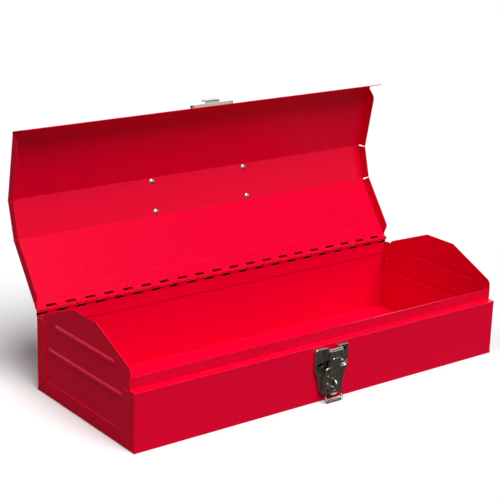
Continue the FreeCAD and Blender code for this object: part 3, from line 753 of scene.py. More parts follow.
@dataclass
class BoxBody:
    """The red box: one wrapped sheet for front, bottom and rear, and two end panels inside its flanges."""

    half_length: float = 242.5
    front: float = -94.0
    rear: float = 94.0
    sheet: float = 0.9
    bend: float = 0.8
    front_top: float = 62.8
    ledge: float = 8.5
    rim_top: float = 75.4
    rear_top: float = 86.3
    rear_flange_top: float = 82.5
    front_flange: float = 22.0
    rear_flange: float = 19.0
    bottom_flange: float = 16.5
    flange_gap: float = 0.5        # between an upright flange and the bottom one
    front_corner: float = 4.0      # radius of the front flange's free corner
    rear_corner: float = 3.0
    tuck: float = 2.1              # plain sheet left between a fold and the start of an end flange
    panel_top: float = 84.0        # an end panel's top beside the rear wall
    # the lug's corners, by how far they are in from the rear wall
    lug: tuple[Triple, ...] = ((8.5, 85.4, 2.5), (11.0, 84.2, 0.8), (15.0, 88.4, 2.0))
    peak: tuple[Triple, ...] = ((19.5, 112.4, 5.0), (-23.7, 112.4, 5.0))
    shoulder: Triple = (8.0, 84.3, 7.0)      # in from the front wall
    rim_play: float = 0.4          # how far an end panel stands over the front rim
    ribs: tuple[Triple, ...] = ((51.8, -69.5, 67.5), (81.5, -55.5, 53.5))      # height, from, to
    rib_half: float = 4.0
    rib_press: tuple[Pair, ...] = (
        (3.75, 0.06), (3.35, 0.22), (2.7, 0.62), (2.0, 0.98), (1.2, 1.22), (0.5, 1.3)
    )
    rest: Pair = (87.2, 62.1)      # dome that the tray would sit on
    rest_radius: float = 2.8
    rest_press: tuple[Pair, ...] = ((2.5, 0.2), (2.1, 0.65), (1.4, 1.08), (0.6, 1.3))

    def section(self) -> list[Pair]:
        """Return the wrap's outer line from the rim over the front, the bottom and up the rear."""
        ledge_y = self.front + self.ledge
        return [
            (ledge_y, self.rim_top),
            (ledge_y, self.front_top),
            (self.front, self.front_top),
            (self.front, self.front_top - self.tuck),
            (self.front, self.tuck),
            (self.front, 0.0),
            (self.front + self.tuck, 0.0),
            (self.rear - self.tuck, 0.0),
            (self.rear, 0.0),
            (self.rear, self.tuck),
            (self.rear, self.rear_flange_top),
            (self.rear, self.rear_top),
        ]

    def wrap(self) -> None:
        """Build the front wall with its ledge and rim, the bottom and the rear wall."""
        line = self.section()
        piece = Workpiece.strip(line, -self.half_length, self.half_length)
        low = self.bottom_flange + self.flange_gap
        inner_front = self.front + self.front_flange
        inner_rear = self.rear - self.rear_flange
        flanges = (
            (3, 4, (inner_front, self.front_top - self.sheet, self.front_corner), (inner_front, low, 0.0)),
            (6, 7, (inner_front, self.bottom_flange, 0.0), (inner_rear, self.bottom_flange, 0.0)),
            (9, 10, (inner_rear, low, 0.0), (inner_rear, self.rear_flange_top, self.rear_corner)),
        )
        for side in (-1, 1):
            for a, b, *ends in flanges:
                turn_flange(piece, side * self.half_length, (line[a], line[b]), ends, self.bend + self.sheet)
        for i in (1, 2, 5, 8):
            piece.fold(line, i, self.sheet, self.bend)
        piece.thicken(self.sheet, at_level(Axis.Z, 0.0), (0, 0, -1))
        piece.soften()
        wrap = dress(piece, "box_wrap", Body.BOX, RED_ENAMEL, ["body_wrap"])
        # Painted shade on the rear wall's inner face above its flange, behind the hinge's slots.
        shade_seam(
            wrap, lambda v, n: v.y > 0 and v.z > self.rear_flange_top and n.y < -LOOKS_THAT_WAY
        )

    def end_outline(self) -> list[Triple]:
        """Return the end panel's outline as (y, z, corner radius)."""
        edge = self.sheet
        rim = self.front + self.ledge + edge
        rim_top = self.rim_top + self.rim_play
        back, level, radius = self.shoulder
        return [
            (self.rear - edge, edge, self.bend),
            (self.rear - edge, self.panel_top, 0.0),
            *[(self.rear - y, z, r) for y, z, r in self.lug],
            *self.peak,
            (self.front + back, level, radius),
            (self.front + back, rim_top, 0.0),
            (rim, rim_top, 0.0),
            (rim, self.front_top - edge, 0.0),
            (self.front + edge, self.front_top - edge, 0.0),
            (self.front + edge, edge, self.bend),
        ]

    def end(self, side: int, name: str, node: str) -> None:
        """Build one end panel with its two pressed ribs and its tray rest.

        Args:
            side: Which end of the box, 1 or -1.
            name: The piece's name.
            node: The frame's node that it stands for.
        """
        x = side * (self.half_length - self.sheet)
        piece = Workpiece.blank(self.end_outline(), lambda p: (x, *p))
        ribs = [
            Opening((x, (start + end) / 2, z), self.rib_half, (0.0, (end - start) / 2, 0.0))
            for z, start, end in self.ribs
        ]
        rest = Opening((x, *self.rest), self.rest_radius)
        piece.punch([*ribs, rest])
        for rib in ribs:
            rib.press(piece, side, self.rib_press)
        rest.press(piece, -side, self.rest_press)
        piece.thicken(self.sheet, at_level(Axis.X, x), (side, 0, 0))
        piece.soften()
        dress(piece, name, Body.BOX, RED_ENAMEL, [node])

    def build(self) -> None:
        """Build the whole box."""
        self.wrap()
        self.end(-1, "left_end_panel", "end_panel_left")
        self.end(1, "right_end_panel", "end_panel_right")


# ---- hinge ----
@dataclass
class PianoHinge:
    """The full-length hinge: two leaves whose tabs are rolled into knuckles round one pin."""

    half_length: float = 242.5
    knuckles: int = 41
    gap: float = 0.3
    barrel: float = 2.1
    box_slot: float = 5.2          # how far the box's leaf is cut back from the pin
    lid_slot: float = 4.6
    axis: Pair = (92.65, 88.9)
    width: float = 18.7            # from the pin to a leaf's far edge
    end_inset: float = 1.8         # a leaf stops this far short of the box's ends
    sheet: float = 0.9
    joggle: float = 1.8            # length over which a tab steps from the leaf to the barrel
    lead: float = 1.4              # straight length of a tab before it rolls
    roll_turn: float = 270.0       # degrees
    roll_steps: int = 12
    tab_edge: float = 0.12         # how far the tabs' edges are broken

    @property
    def pitch(self) -> float:
        """Length of one knuckle with its gap."""
        return 2 * self.half_length / self.knuckles

    def part_columns(self, piece: Workpiece, rows: tuple[Pair, Pair]) -> None:
        """Open a narrow column between neighbouring knuckles' places.

        Args:
            piece: The leaf, divided into one column for each knuckle.
            rows: The two lines along X between which the columns run.
        """
        inside = self.half_length - NEAR
        low, top = rows
        on_middle = at_row(((low[0] + top[0]) / 2, (low[1] + top[1]) / 2))
        piece.pick_edges(lambda e, v: on_middle(v) and abs(v.x) < inside)
        piece.bevel(self.gap / 2, 1)

    def pick_tabs(self, piece: Workpiece, row: Pair, odd: bool) -> None:
        """Select the edges of one leaf's tabs.

        Args:
            piece: The leaf.
            row: The line along X that the tabs start from.
            odd: Whether the leaf has the second, fourth ... knuckle rather than the first, third ...
        """
        on_row = at_row(row)

        def tab(v: Vector) -> bool:
            """Say whether a place is in one of this leaf's columns."""
            column = min(max(int((v.x + self.half_length) // self.pitch), 0), self.knuckles - 1)
            return on_row(v) and column % 2 == int(odd)

        piece.pick(Kind.EDGE, tab)

    def leaf(self, slot: float, facing: int, odd: bool) -> Workpiece:
        """Build one leaf hanging below the pin.

        Args:
            slot: How far it is cut back from the pin for the other leaf's knuckles.
            facing: The side that its tabs step out to, 1 for the rear or -1 for the front.
            odd: Whether it has the second, fourth ... knuckle.

        Returns:
            The leaf, with its metal.
        """
        y = self.axis[0] + facing * self.sheet / 2
        low = (y, self.axis[1] - self.width)
        top = (y, self.axis[1] - slot)
        piece = Workpiece.strip([low, top], -self.half_length, self.half_length, self.knuckles)
        self.part_columns(piece, (low, top))
        for side in (-1, 1):
            piece.pick(Kind.VERT, lambda v, side=side: abs(v.x - side * self.half_length) < NEAR)
            piece.shift(-side * self.end_inset, 0, 0)
        self.pick_tabs(piece, top, odd)
        piece.extrude(0, 0, slot - self.joggle - self.lead)
        piece.extrude(0, facing * (self.barrel - self.sheet / 2), self.joggle)
        piece.extrude(0, 0, self.lead)
        piece.roll(-facing * self.roll_turn, (0, *self.axis), self.roll_steps)
        free = self.half_length - self.end_inset
        for side in (-1, 1):
            piece.pick(
                Kind.VERT,
                lambda v, side=side: abs(v.x - side * free) < NEAR and v.z > self.axis[1] - slot + NEAR,
            )
            piece.shift(side * (self.end_inset - self.gap / 2), 0, 0)
        flat = at_level(Axis.Y, y)
        piece.thicken(self.sheet, lambda v: flat(v) and v.z < top[1] + NEAR, (0, facing, 0))
        piece.soften(self.tab_edge, 1)
        return piece

    def build(self) -> None:
        """Build the box's leaf and paint the pin."""
        leaf = self.leaf(self.box_slot, -1, odd=True)
        dress(leaf, "box_hinge_leaf", Body.BOX, RED_ENAMEL, ["body_hinge_leaf"])
        repaint("hinge_pin", ZINC_PLATE)


# ---- lid ----
@dataclass
class Lid:
    """The hip-roof lid, folded from one sheet on the closed box and then swung open."""

    hinge: PianoHinge
    half_length: float = 242.9
    sheet: float = 0.9
    bend: float = 0.8
    edge: float = 2.25             # the sheet stops this far from the hinge's axis
    flange_start: float = 2.75     # from there to the first end flange
    ridge_z: float = 118.6
    ridge_rear: float = 19.0
    ridge_front: float = -23.7
    front: float = -94.0
    brow: float = 85.0
    lip_low: float = 63.6
    flange_width: float = 11.8
    flange_bend: float = 1.1       # outside radius of an end flange's fold
    relief: float = 1.2            # plain sheet between a ridge fold and an end flange
    brow_relief: float = 2.5
    mitre: float = 0.4             # half the gap between neighbouring end flanges
    hinge_end: Pair = (9.9, 4.0)   # the rear flange's free corner: how far it is cut back, and its radius
    brow_end: Pair = (3.0, 7.0)    # the same for the front one
    opened: float = 105.0          # degrees

    def about_hinge(self, degrees: float) -> Matrix:
        """Return a turn about the hinge, in metres."""
        pivot = Vector((0, *self.hinge.axis)) * MM
        turn = Matrix.Rotation(math.radians(degrees), 4, "X")
        return Matrix.Translation(pivot) @ turn @ Matrix.Translation(-pivot)

    @property
    def open_turn(self) -> Matrix:
        """The turn from the closed lid to the open one."""
        return self.about_hinge(-self.opened)

    @property
    def outward(self) -> float:
        """Distance from the hinge's axis to the outside of the sheet, which lies on half its leaf."""
        return 1.5 * self.sheet

    @property
    def slope(self) -> float:
        """Angle of the closed rear slope, whose sheet lies on its hinge leaf."""
        rise = self.ridge_z - self.hinge.axis[1]
        run = self.hinge.axis[0] - self.ridge_rear
        return math.atan2(rise, run) - math.asin(self.outward / math.hypot(rise, run))

    def folds(self) -> list[Pair]:
        """Return the closed lid's outer line from beside the hinge forward and down to the lip's edge."""
        fold = (self.ridge_rear, self.ridge_z)
        y, z = self.hinge.axis
        foot = (y + self.outward * math.sin(self.slope), z + self.outward * math.cos(self.slope))
        return [
            along(foot, unit(foot, fold), self.edge),
            fold,
            (self.ridge_front, self.ridge_z),
            (self.front, self.brow),
            (self.front, self.lip_low),
        ]

    def sheet_metal(self) -> None:
        """Build the lid's sheet with its end flanges."""
        corners = self.folds()
        inner = offset_line(corners, self.flange_width)
        ahead = [unit(a, b) for a, b in zip(corners, corners[1:])]
        line = [
            corners[0],
            along(corners[0], ahead[0], self.flange_start),
            along(corners[1], ahead[0], -self.relief),
            corners[1],
            along(corners[1], ahead[1], self.relief),
            along(corners[2], ahead[1], -self.relief),
            corners[2],
            along(corners[2], ahead[2], self.relief),
            along(corners[3], ahead[2], -self.brow_relief),
            corners[3],
            corners[4],
        ]
        piece = Workpiece.strip(line, -self.half_length, self.half_length)
        cut, radius = self.hinge_end
        brow_cut, brow_radius = self.brow_end
        runs = (      # the line's two points, then each free corner as inner corner, run, distance, radius
            (1, 2, (0, 0, cut, radius), (1, 0, -self.mitre, 0.0)),
            (4, 5, (1, 1, self.mitre, 0.0), (2, 1, -self.mitre, 0.0)),
            (7, 8, (2, 2, self.mitre, 0.0), (3, 2, -brow_cut, brow_radius)),
        )
        for side in (-1, 1):
            for a, b, *free in runs:
                ends = [(*along(inner[i], ahead[run], distance), r) for i, run, distance, r in free]
                turn_flange(piece, side * self.half_length, (line[a], line[b]), ends, self.flange_bend)
        for i in (3, 6, 9):
            piece.fold(line, i, self.sheet, self.bend)
        level = at_level(Axis.Z, self.ridge_z)
        piece.thicken(
            self.sheet, lambda v: level(v) and self.ridge_front < v.y < self.ridge_rear, (0, 0, 1)
        )
        piece.soften()
        piece.swing(self.open_turn)
        sheet = dress(piece, "lid_sheet", Body.LID, RED_ENAMEL, ["lid_shell"])
        # Painted shade on the sheet's inner face beside the hinge, behind the leaf's slots.
        leaf_side = self.open_turn.to_3x3() @ Vector((0, -math.sin(self.slope), -math.cos(self.slope)))
        axis = Vector(self.hinge.axis)
        reach = self.edge + self.flange_start
        shade_seam(
            sheet, lambda v, n: (v.yz - axis).length < reach and n.dot(leaf_side) > LOOKS_THAT_WAY
        )

    def build(self) -> None:
        """Build the lid's sheet and its hinge leaf."""
        self.sheet_metal()
        leaf = self.hinge.leaf(self.hinge.lid_slot, 1, odd=False)
        leaf.swing(self.open_turn @ self.about_hinge(-90 - math.degrees(self.slope)))
        dress(leaf, "lid_hinge_leaf_rolled", Body.LID, RED_ENAMEL, ["lid_hinge_leaf"])


# ---- draw latch ----
@dataclass
class DrawLatch:
    """The draw latch on the front wall: pressed base, lever, wire bail and padlock staple."""

    wall: float = -94.0
    strip: float = 1.0
    proud: float = 3.6             # how far the base's face stands off the wall
    ear_x: float = 8.2
    ear_low: float = 46.0
    ear_reach: float = 11.0
    ear_lift: float = 50.5         # where an ear's lower front corner is
    ear_corners: Pair = (2.6, 3.0)
    ear_fold: float = 0.9
    pan_fold: float = 1.1
    top: float = 60.5
    shoulder: tuple[Triple, ...] = (
        (22.3, 60.5, 2.5), (22.3, 36.0, 3.0), (18.8, 29.5, 6.0), (15.4, 13.0, 6.0), (12.0, 8.0, 3.5)
    )
    rivet: Pair = (16.3, 40.5)
    dimple: float = 5.2
    dimple_press: tuple[Pair, ...] = ((5.0, 0.12), (4.6, 0.5), (4.3, 1.3), (4.2, 2.3), (3.9, 2.6))
    pivot: Pair = (-101.5, 57.0)
    curl: float = 2.8
    curl_turn: float = 300.0       # degrees
    curl_steps: int = 14
    lever_half: float = 6.8
    lever_side: tuple[Triple, ...] = (
        (6.8, 57.0, 0.0), (6.8, 34.0, 0.0), (5.9, 27.0, 3.0), (6.6, 20.0, 3.0), (6.6, 8.3, 5.5)
    )
    step_high: float = 32.0        # the lever steps back towards the wall between these levels
    step_low: float = 24.5
    step_back: float = 2.3
    tongue: Triple = (10.5, 8.3, -1.1)                        # the tip turns out: from, to, and how far
    slot: tuple[float, float, Triple] = (19.6, 3.5, (0.6, 0.0, 4.2))      # height, radius, spread
    emboss: tuple[float, float, Triple] = (42.0, 2.0, (3.1, 0.0, 6.6))
    emboss_press: tuple[Pair, ...] = ((1.75, 0.3), (1.35, 0.7), (1.0, 0.85))
    cheek: float = 5.0
    cheek_fold: float = 0.8
    cheek_ends: tuple[Triple, ...] = ((35.0, 35.8, 2.2), (53.0, 46.0, 3.0))   # height, free height, radius

    @staticmethod
    def both_sides(half: Sequence[Triple]) -> list[Triple]:
        """Return a right-hand outline followed by its mirror image."""
        return [*half, *[(-x, z, r) for x, z, r in half[::-1]]]

    def base(self) -> None:
        """Press the base: a shallow pan with two rivet dimples and two pivot ears turned forward."""
        front = self.wall - self.proud
        corner = [(self.ear_x, self.ear_low, 0.0), (self.ear_x, self.top, 0.0)]
        piece = Workpiece.blank(self.both_sides([*corner, *self.shoulder]), lambda p: (p[0], front, p[1]))
        press_dimples(piece, self.rivet, front, self.dimple, self.dimple_press)
        on_face = at_level(Axis.Y, front)

        def is_notch(v: Vector) -> bool:
            """Say whether a place is on the sides of the gap between the ears."""
            return abs(abs(v.x) - self.ear_x) < NEAR and v.z > self.ear_low

        piece.pick_edges(lambda e, v: e.is_boundary and not is_notch(v))
        piece.extrude(0, self.proud, 0)
        piece.pick_edges(lambda e, v: e.is_boundary and is_notch(v) and on_face(v))
        reach = self.ear_reach - self.proud
        piece.extrude(0, -reach, 0)
        for side in (-1, 1):
            x, y = side * self.ear_x, front - reach
            piece.move_corner((x, y, self.ear_low), (x, y, self.ear_lift))
            for z, corner in zip((self.ear_lift, self.top), self.ear_corners):
                piece.round_corner((x, y, z), corner)
        piece.pick_edges(
            lambda e, v: on_face(v) and e.calc_face_angle(0) > 1 and abs(v.x) > self.ear_x + NEAR
        )
        piece.bevel(self.pan_fold, TIGHT_STEPS)
        piece.pick_edges(lambda e, v: is_notch(v) and on_face(v) and not e.is_boundary)
        piece.bevel(self.ear_fold, TIGHT_STEPS)
        piece.thicken(self.strip, on_face, (0, -1, 0))
        piece.soften(STAMPED_EDGE)
        dress(piece, "latch_base_pressing", Body.BOX, NICKEL_PLATE, ["latch_base"])

    def lever(self) -> None:
        """Press the lever: curled over the pin, embossed, with bail cheeks and a slotted tongue."""
        y = self.pivot[0] - self.curl
        piece = Workpiece.blank(self.both_sides(self.lever_side), lambda p: (p[0], y, p[1]))
        slot, emboss = (
            Opening((0.0, y, z), radius, spread, across=Axis.Y)
            for z, radius, spread in (self.slot, self.emboss)
        )
        piece.punch([slot, emboss])
        emboss.press(piece, -1, self.emboss_press)
        low, high = (end[0] for end in self.cheek_ends)
        for level in (high, low, self.step_high, self.step_low, self.tongue[0]):
            piece.slice(level)
        self.lean(piece, self.step_high, self.step_low, self.step_back)
        self.lean(piece, *self.tongue)

        def on_cheek(v: Vector) -> bool:
            """Say whether a place is on the part of a side that has a cheek."""
            return abs(abs(v.x) - self.lever_half) < NEAR and low < v.z < high

        piece.pick_edges(lambda e, v: e.is_boundary and on_cheek(v))
        piece.extrude(0, self.cheek, 0)
        for side in (-1, 1):
            x = side * self.lever_half
            for z, free, radius in self.cheek_ends:
                piece.move_corner((x, y + self.cheek, z), (x, y + self.cheek, free))
                piece.round_corner((x, y + self.cheek, free), radius)
        on_face = at_level(Axis.Y, y)
        piece.pick_edges(lambda e, v: on_cheek(v) and on_face(v))
        piece.bevel(self.cheek_fold, TIGHT_STEPS)
        at_pin = at_level(Axis.Z, self.pivot[1])
        piece.pick_edges(lambda e, v: e.is_boundary and at_pin(v))
        piece.roll(self.curl_turn, (0, *self.pivot), self.curl_steps)
        piece.thicken(self.strip, on_face, (0, -1, 0))
        piece.soften(STAMPED_EDGE)
        dress(piece, "latch_lever_pressing", Body.LEVER, NICKEL_PLATE, ["latch_lever"])

    @staticmethod
    def lean(piece: Workpiece, high: float, low: float, back: float) -> None:
        """Lean the metal between two levels, and carry all below with it.

        Args:
            piece: The workpiece, cut along both levels.
            high: The level where it starts.
            low: The level where it is complete.
            back: How far it has then moved along Y.
        """
        levels = sorted({round(v.co.z / MM, 2) for v in piece.edit().verts if v.co.z / MM < high - NEAR})
        for level in levels:
            share = min((high - level) / (high - low), 1.0)
            piece.pick(Kind.VERT, lambda v, level=level: abs(v.z - level) < ROUNDING)
            piece.shift(0, back * share, 0)

    def build(self) -> None:
        """Build the base and the lever, and plate the wires, pin and rivets."""
        self.base()
        self.lever()
        for node in ("latch_bail", "latch_staple"):
            repaint(node, NICKEL_PLATE)
        for node in ("latch_pivot_pin", "latch_base_rivets"):
            repaint(node, ZINC_PLATE)


# ---- catch ----
@dataclass
class LidCatch:
    """The catch on the lid's lip, built on the closed lid: a riveted plate with a hooked tongue."""

    lid: Lid
    thick: float = 1.2
    half: float = 27.5
    low: float = 67.5
    high: float = 80.5
    corner: float = 6.0
    proud: float = 3.2             # how far the plate's face stands off the lip
    rivet: Pair = (17.5, 74.0)
    dimple: float = 4.9
    dimple_press: tuple[Pair, ...] = ((4.7, 0.12), (4.4, 0.5), (4.1, 1.4), (3.8, 2.0))
    hook_half: float = 9.5
    hook_corner: tuple[float, int] = (2.2, 4)      # reach and faces
    hook_side: tuple[Pair, ...] = ((-3.0, 72.6), (-6.0, 72.6), (-6.0, 77.8), (-7.6, 80.4))

    def build(self) -> None:
        """Build the catch and paint its rivets."""
        front = self.lid.front - self.proud
        outline = [
            (x, z, self.corner)
            for x, z in ((-self.half, self.low), (self.half, self.low), (self.half, self.high),
                         (-self.half, self.high))
        ]
        plate = Workpiece.blank(outline, lambda p: (p[0], front, p[1]))
        press_dimples(plate, self.rivet, front, self.dimple, self.dimple_press)
        on_face = at_level(Axis.Y, front)
        plate.pick_edges(lambda e, v: e.is_boundary and on_face(v))
        plate.extrude(0, self.proud, 0)
        plate.thicken(self.thick, on_face, (0, -1, 0))
        line = [(self.lid.front + y, z) for y, z in self.hook_side]
        hook = Workpiece.strip(line, -self.hook_half, self.hook_half)
        for side in (-1, 1):
            hook.round_corner((side * self.hook_half, *line[-1]), *self.hook_corner)
        for i in (1, 2):
            hook.fold(line, i, self.thick, self.thick)
        hook.thicken(self.thick, at_level(Axis.Z, line[0][1]), (0, 0, 1))
        plate.take(hook)
        plate.soften(HEAVY_EDGE)
        plate.swing(self.lid.open_turn)
        dress(plate, "catch_plate_with_hook", Body.LID, NICKEL_PLATE, ["catch_plate"])
        repaint("catch_rivets", ZINC_PLATE)


# ---- carrying handle ----
@dataclass
class CarryHandle:
    """The folding handle on the ridge: two strap brackets, a bent rod and a moulded grip."""

    lid: Lid
    bracket_x: float = 63.5
    bracket_half: float = 8.0
    strap: float = 1.5
    rod: float = 3.05
    rise: float = 4.6
    strap_end: float = 23.5
    strap_corner: tuple[float, int] = (6.0, 6)     # reach and faces
    foot_fold: float = 1.0
    arch_steps: int = 12
    grip_half: float = 41.0
    grip_radius: float = 9.0
    grip_sides: int = 40
    # each ring of a collar: its place from the end, how far it is below full radius, and its middle's drop
    collar: tuple[Triple, ...] = (
        (0.0, 1.2, 0.0), (0.35, 0.5, 0.0), (1.0, 0.0, 0.0), (2.6, 0.0, 0.0), (3.2, 0.4, 0.0),
        (3.6, 1.1, 0.1),
    )
    fingers: int = 4
    stations: int = 40             # rings along the finger hollows
    hollow: float = 0.55           # depth of a finger hollow
    hollows_from: float = 4.4      # where the hollows start
    waist: float = 0.9             # how far the grip between its collars is below full radius
    sag: float = 0.15              # how far its middle is lowered there

    def bracket(self, side: int, name: str, node: str) -> None:
        """Form one strap over the handle's end.

        Args:
            side: Which bracket, 1 or -1.
            name: The piece's name.
            node: The frame's node that it stands for.
        """
        middle = (self.lid.ridge_rear + self.lid.ridge_front) / 2
        face = self.lid.ridge_z + self.strap
        axis = (middle, self.lid.ridge_z + self.rise)
        arch = self.rod + self.strap
        x = side * self.bracket_x
        line = [(middle - self.strap_end, face), (middle - arch, face), (middle - arch, axis[1])]
        piece = Workpiece.strip(line, x - self.bracket_half, x + self.bracket_half)
        piece.pick(Kind.EDGE, at_row(line[-1]))
        piece.roll(180, (0, *axis), self.arch_steps)
        piece.extrude(0, 0, face - axis[1])
        piece.extrude(0, self.strap_end - arch, 0)
        for end in (-1, 1):
            for edge in (-1, 1):
                foot = (x + edge * self.bracket_half, middle + end * self.strap_end, face)
                piece.round_corner(foot, *self.strap_corner)
            piece.pick(Kind.EDGE, at_row((middle + end * arch, face)))
            piece.bevel(self.foot_fold, TIGHT_STEPS)
        piece.thicken(self.strap, at_level(Axis.Z, face), (0, 0, 1))
        piece.soften(HEAVY_EDGE)
        piece.swing(self.lid.open_turn)
        dress(piece, name, Body.LID, ZINC_PLATE, [node])

    def grip(self) -> None:
        """Form the grip ring by ring: a collar at each end, and finger hollows on the side to the lid."""
        low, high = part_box("handle_grip")
        centre = (low + high) / (2 * MM)
        x = centre.x - self.grip_half
        piece = Workpiece(
            bpy.ops.mesh.primitive_circle_add, vertices=self.grip_sides, radius=self.rod * MM,
            fill_type="NGON",
            location=(x * MM, centre.y * MM, centre.z * MM), rotation=(0, math.pi / 2, 0),
        )
        bpy.ops.object.mode_set(mode="OBJECT")
        bpy.ops.object.transform_apply(location=True, rotation=True, scale=True)
        bpy.ops.object.mode_set(mode="EDIT")
        piece.pick_all()
        now = self.rod
        drop = 0.0
        for place, radius, sink in self.rings():
            step = centre.x - self.grip_half + place - x
            piece.pull(step, 0, 0)
            x += step
            piece.scale((1, radius / now, radius / now), (x, centre.y, centre.z - drop))
            piece.shift(0, 0, drop - sink)
            drop = sink
            now = radius
        piece.face_out(at_level(Axis.X, centre.x - self.grip_half), (-1, 0, 0))
        dress(piece, "handle_grip_moulding", Body.HANDLE, BLACK_PLASTIC, ["handle_grip"], smooth=50)

    def rings(self) -> list[Triple]:
        """Return the grip's rings as place along the grip, radius, and how far its middle is lowered."""
        full = self.grip_radius
        length = 2 * self.grip_half
        rings = [(place, full - depth, sink) for place, depth, sink in self.collar]
        span = length - 2 * self.hollows_from
        for i in range(self.stations + 1):
            wave = math.cos(2 * math.pi * self.fingers * i / self.stations)
            hollow = self.hollow * (1 - wave) / 2
            place = self.hollows_from + span * i / self.stations
            rings.append((place, full - self.waist - hollow, self.sag + hollow))
        last = len(self.collar) - 1
        rings += [(length - place, radius, sink) for place, radius, sink in rings[last::-1]]
        rings.append((length, self.rod, 0.0))
        return rings

    def build(self) -> None:
        """Build the brackets and the grip, and plate the rod and rivets."""
        self.bracket(-1, "left_handle_bracket", "handle_bracket_left")
        self.bracket(1, "right_handle_bracket", "handle_bracket_right")
        self.grip()
        repaint("handle_rod", ZINC_PLATE)
        repaint("handle_rivets", ZINC_PLATE)


# ---- stage ----
@dataclass(frozen=True)
class Viewpoint:
    """The camera's place and how it is turned."""

    place: Triple = (-934.68, -1170.22, 616.79)
    azimuth: float = -37.47
    elevation: float = 17.72
    roll: float = 1.71
    lens: float = 105.33
    sensor: float = 36.0

    def build(self) -> None:
        """Create the camera and make it the scene's."""
        az, el, ro = (math.radians(a) for a in (self.azimuth, self.elevation, self.roll))
        back = Vector((math.sin(az) * math.cos(el), -math.cos(az) * math.cos(el), math.sin(el)))
        right = (-back).cross(Vector((0, 0, 1))).normalized()
        up = right.cross(-back)
        across = right * math.cos(ro) + up * math.sin(ro)
        upright = up * math.cos(ro) - right * math.sin(ro)
        data = bpy.data.cameras.new("camera")
        data.lens = self.lens
        data.sensor_width = self.sensor
        camera = bpy.data.objects.new("camera", data)
        turn = Matrix((across, upright, back)).transposed().to_4x4()
        camera.matrix_world = Matrix.Translation(Vector(self.place) * MM) @ turn
        bpy.context.scene.collection.objects.link(camera)
        bpy.context.scene.camera = camera


@dataclass(frozen=True)
class BroadLight:
    """One distant soft light, like a large diffuser."""

    name: str
    towards: Triple          # direction from the box to the light
    spread: float            # degrees across
    strength: float

    def build(self) -> None:
        """Create the light and aim it."""
        data = bpy.data.lights.new(self.name, "SUN")
        data.angle = math.radians(self.spread)
        data.energy = self.strength
        light = bpy.data.objects.new(self.name, data)
        light.rotation_euler = Vector(self.towards).to_track_quat("Z", "Y").to_euler()
        bpy.context.scene.collection.objects.link(light)


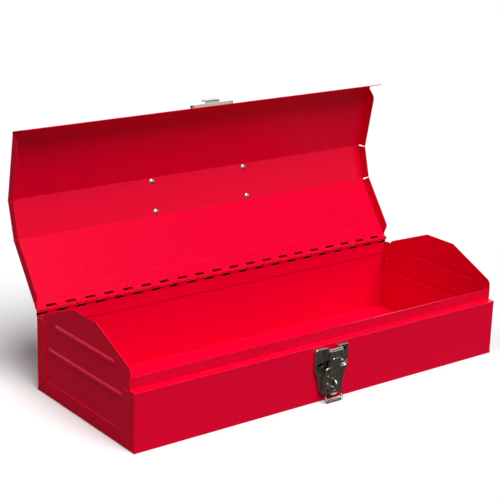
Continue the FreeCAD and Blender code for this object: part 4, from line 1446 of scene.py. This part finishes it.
@dataclass(frozen=True)
class Studio:
    """White paper floor, two soft lights, a faint surround, and a room that only reflections see."""

    floor_size: float = 60.0
    lights: tuple[BroadLight, ...] = (
        BroadLight("front_top_diffuser", (0.0, -0.5, 0.86), 40.0, 3.4),
        BroadLight("left_diffuser", (-0.6, 0.0, 0.8), 40.0, 0.55),
    )
    paper_bounce: str = "#989898"  # the paper as it lights the box
    paper_mirrored: str = "#484848"
    paper_seen: str = "#F6F6F6"
    surround: float = 0.03
    rear_wall: float = 1.6         # how bright the room is behind the box, in reflections
    rear_least: float = 0.05       # and in front of it
    rear_fade: Pair = (-0.1, 0.35)
    front_wall: float = 1.0        # how bright the low windows all round are, in reflections
    window_foot: Pair = (0.0, 0.1)
    window_head: Pair = (0.55, 0.35)

    def build(self) -> None:
        """Build the floor, the surround and the lights."""
        bpy.ops.object.select_all(action="DESELECT")
        bpy.ops.mesh.primitive_plane_add(size=self.floor_size)
        floor = bpy.context.active_object
        floor.name = "studio_floor"
        material = bpy.data.materials.new("white_paper")
        material.use_nodes = True
        tree = material.node_tree
        tree.nodes.clear()
        bounce, mirrored, seen = (
            add_node(tree, "BsdfDiffuse", {"Color": linear(colour)}).outputs["BSDF"]
            for colour in (self.paper_bounce, self.paper_mirrored, self.paper_seen)
        )
        paper = self.by_ray(tree, bounce, mirrored, seen)
        add_node(tree, "OutputMaterial", links={"Surface": paper})
        floor.data.materials.append(material)
        for light in self.lights:
            light.build()
        self.surround_light()
        bpy.context.scene.view_settings.view_transform = "Standard"

    @staticmethod
    def by_ray(
        tree: bpy.types.NodeTree, shader: bpy.types.NodeSocket, mirrored: bpy.types.NodeSocket,
        seen: bpy.types.NodeSocket,
    ) -> bpy.types.NodeSocket:
        """Show reflections and the camera something else than what gives light.

        Args:
            tree: The nodes.
            shader: What gives light.
            mirrored: What reflections see.
            seen: What the camera sees.

        Returns:
            The mixed shader.
        """
        ray = add_node(tree, "LightPath")
        for kind, other in (("Is Glossy Ray", mirrored), ("Is Camera Ray", seen)):
            mix = add_node(tree, "MixShader", links={0: ray.outputs[kind], 1: shader, 2: other})
            shader = mix.outputs["Shader"]
        return shader

    def surround_light(self) -> None:
        """Light faintly from all round, mirror a bright rear wall and low windows, and show white."""
        world = bpy.data.worlds.new("surround")
        world.use_nodes = True
        bpy.context.scene.world = world
        tree = world.node_tree
        tree.nodes.clear()
        direction = add_node(
            tree, "SeparateXYZ", links={0: add_node(tree, "TexCoord").outputs["Generated"]}
        )
        behind, above_floor, below_top = (
            add_node(
                tree, "MapRange", {"From Min": start, "From Max": end, "To Min": least, "To Max": most},
                {"Value": direction.outputs[axis]},
            ).outputs["Result"]
            for axis, (start, end), least, most in (
                ("Y", self.rear_fade, self.rear_least, self.rear_wall),
                ("Z", self.window_foot, 0.0, self.front_wall),
                ("Z", self.window_head, 0.0, 1.0),
            )
        )
        window = add_node(tree, "Math", links={0: above_floor, 1: below_top}, operation="MULTIPLY")
        brightest = add_node(
            tree, "Math", links={0: window.outputs["Value"], 1: behind}, operation="MAXIMUM"
        )
        fill, mirrored, seen = (
            add_node(tree, "Background", {"Color": (1, 1, 1, 1), "Strength": strength}, links)
            .outputs["Background"]
            for strength, links in (
                (self.surround, None), (1.0, {"Strength": brightest.outputs["Value"]}), (1.0, None)
            )
        )
        add_node(tree, "OutputWorld", links={"Surface": self.by_ray(tree, fill, mirrored, seen)})


def main() -> None:
    """Build the stage and every sub-assembly in order."""
    logging.basicConfig(level=logging.INFO, format="%(message)s")
    Viewpoint().build()
    Studio().build()
    BoxBody().build()
    hinge = PianoHinge()
    hinge.build()
    lid = Lid(hinge)
    lid.build()
    DrawLatch().build()
    LidCatch(lid).build()
    CarryHandle(lid).build()


if __name__ == "__main__":
    main()
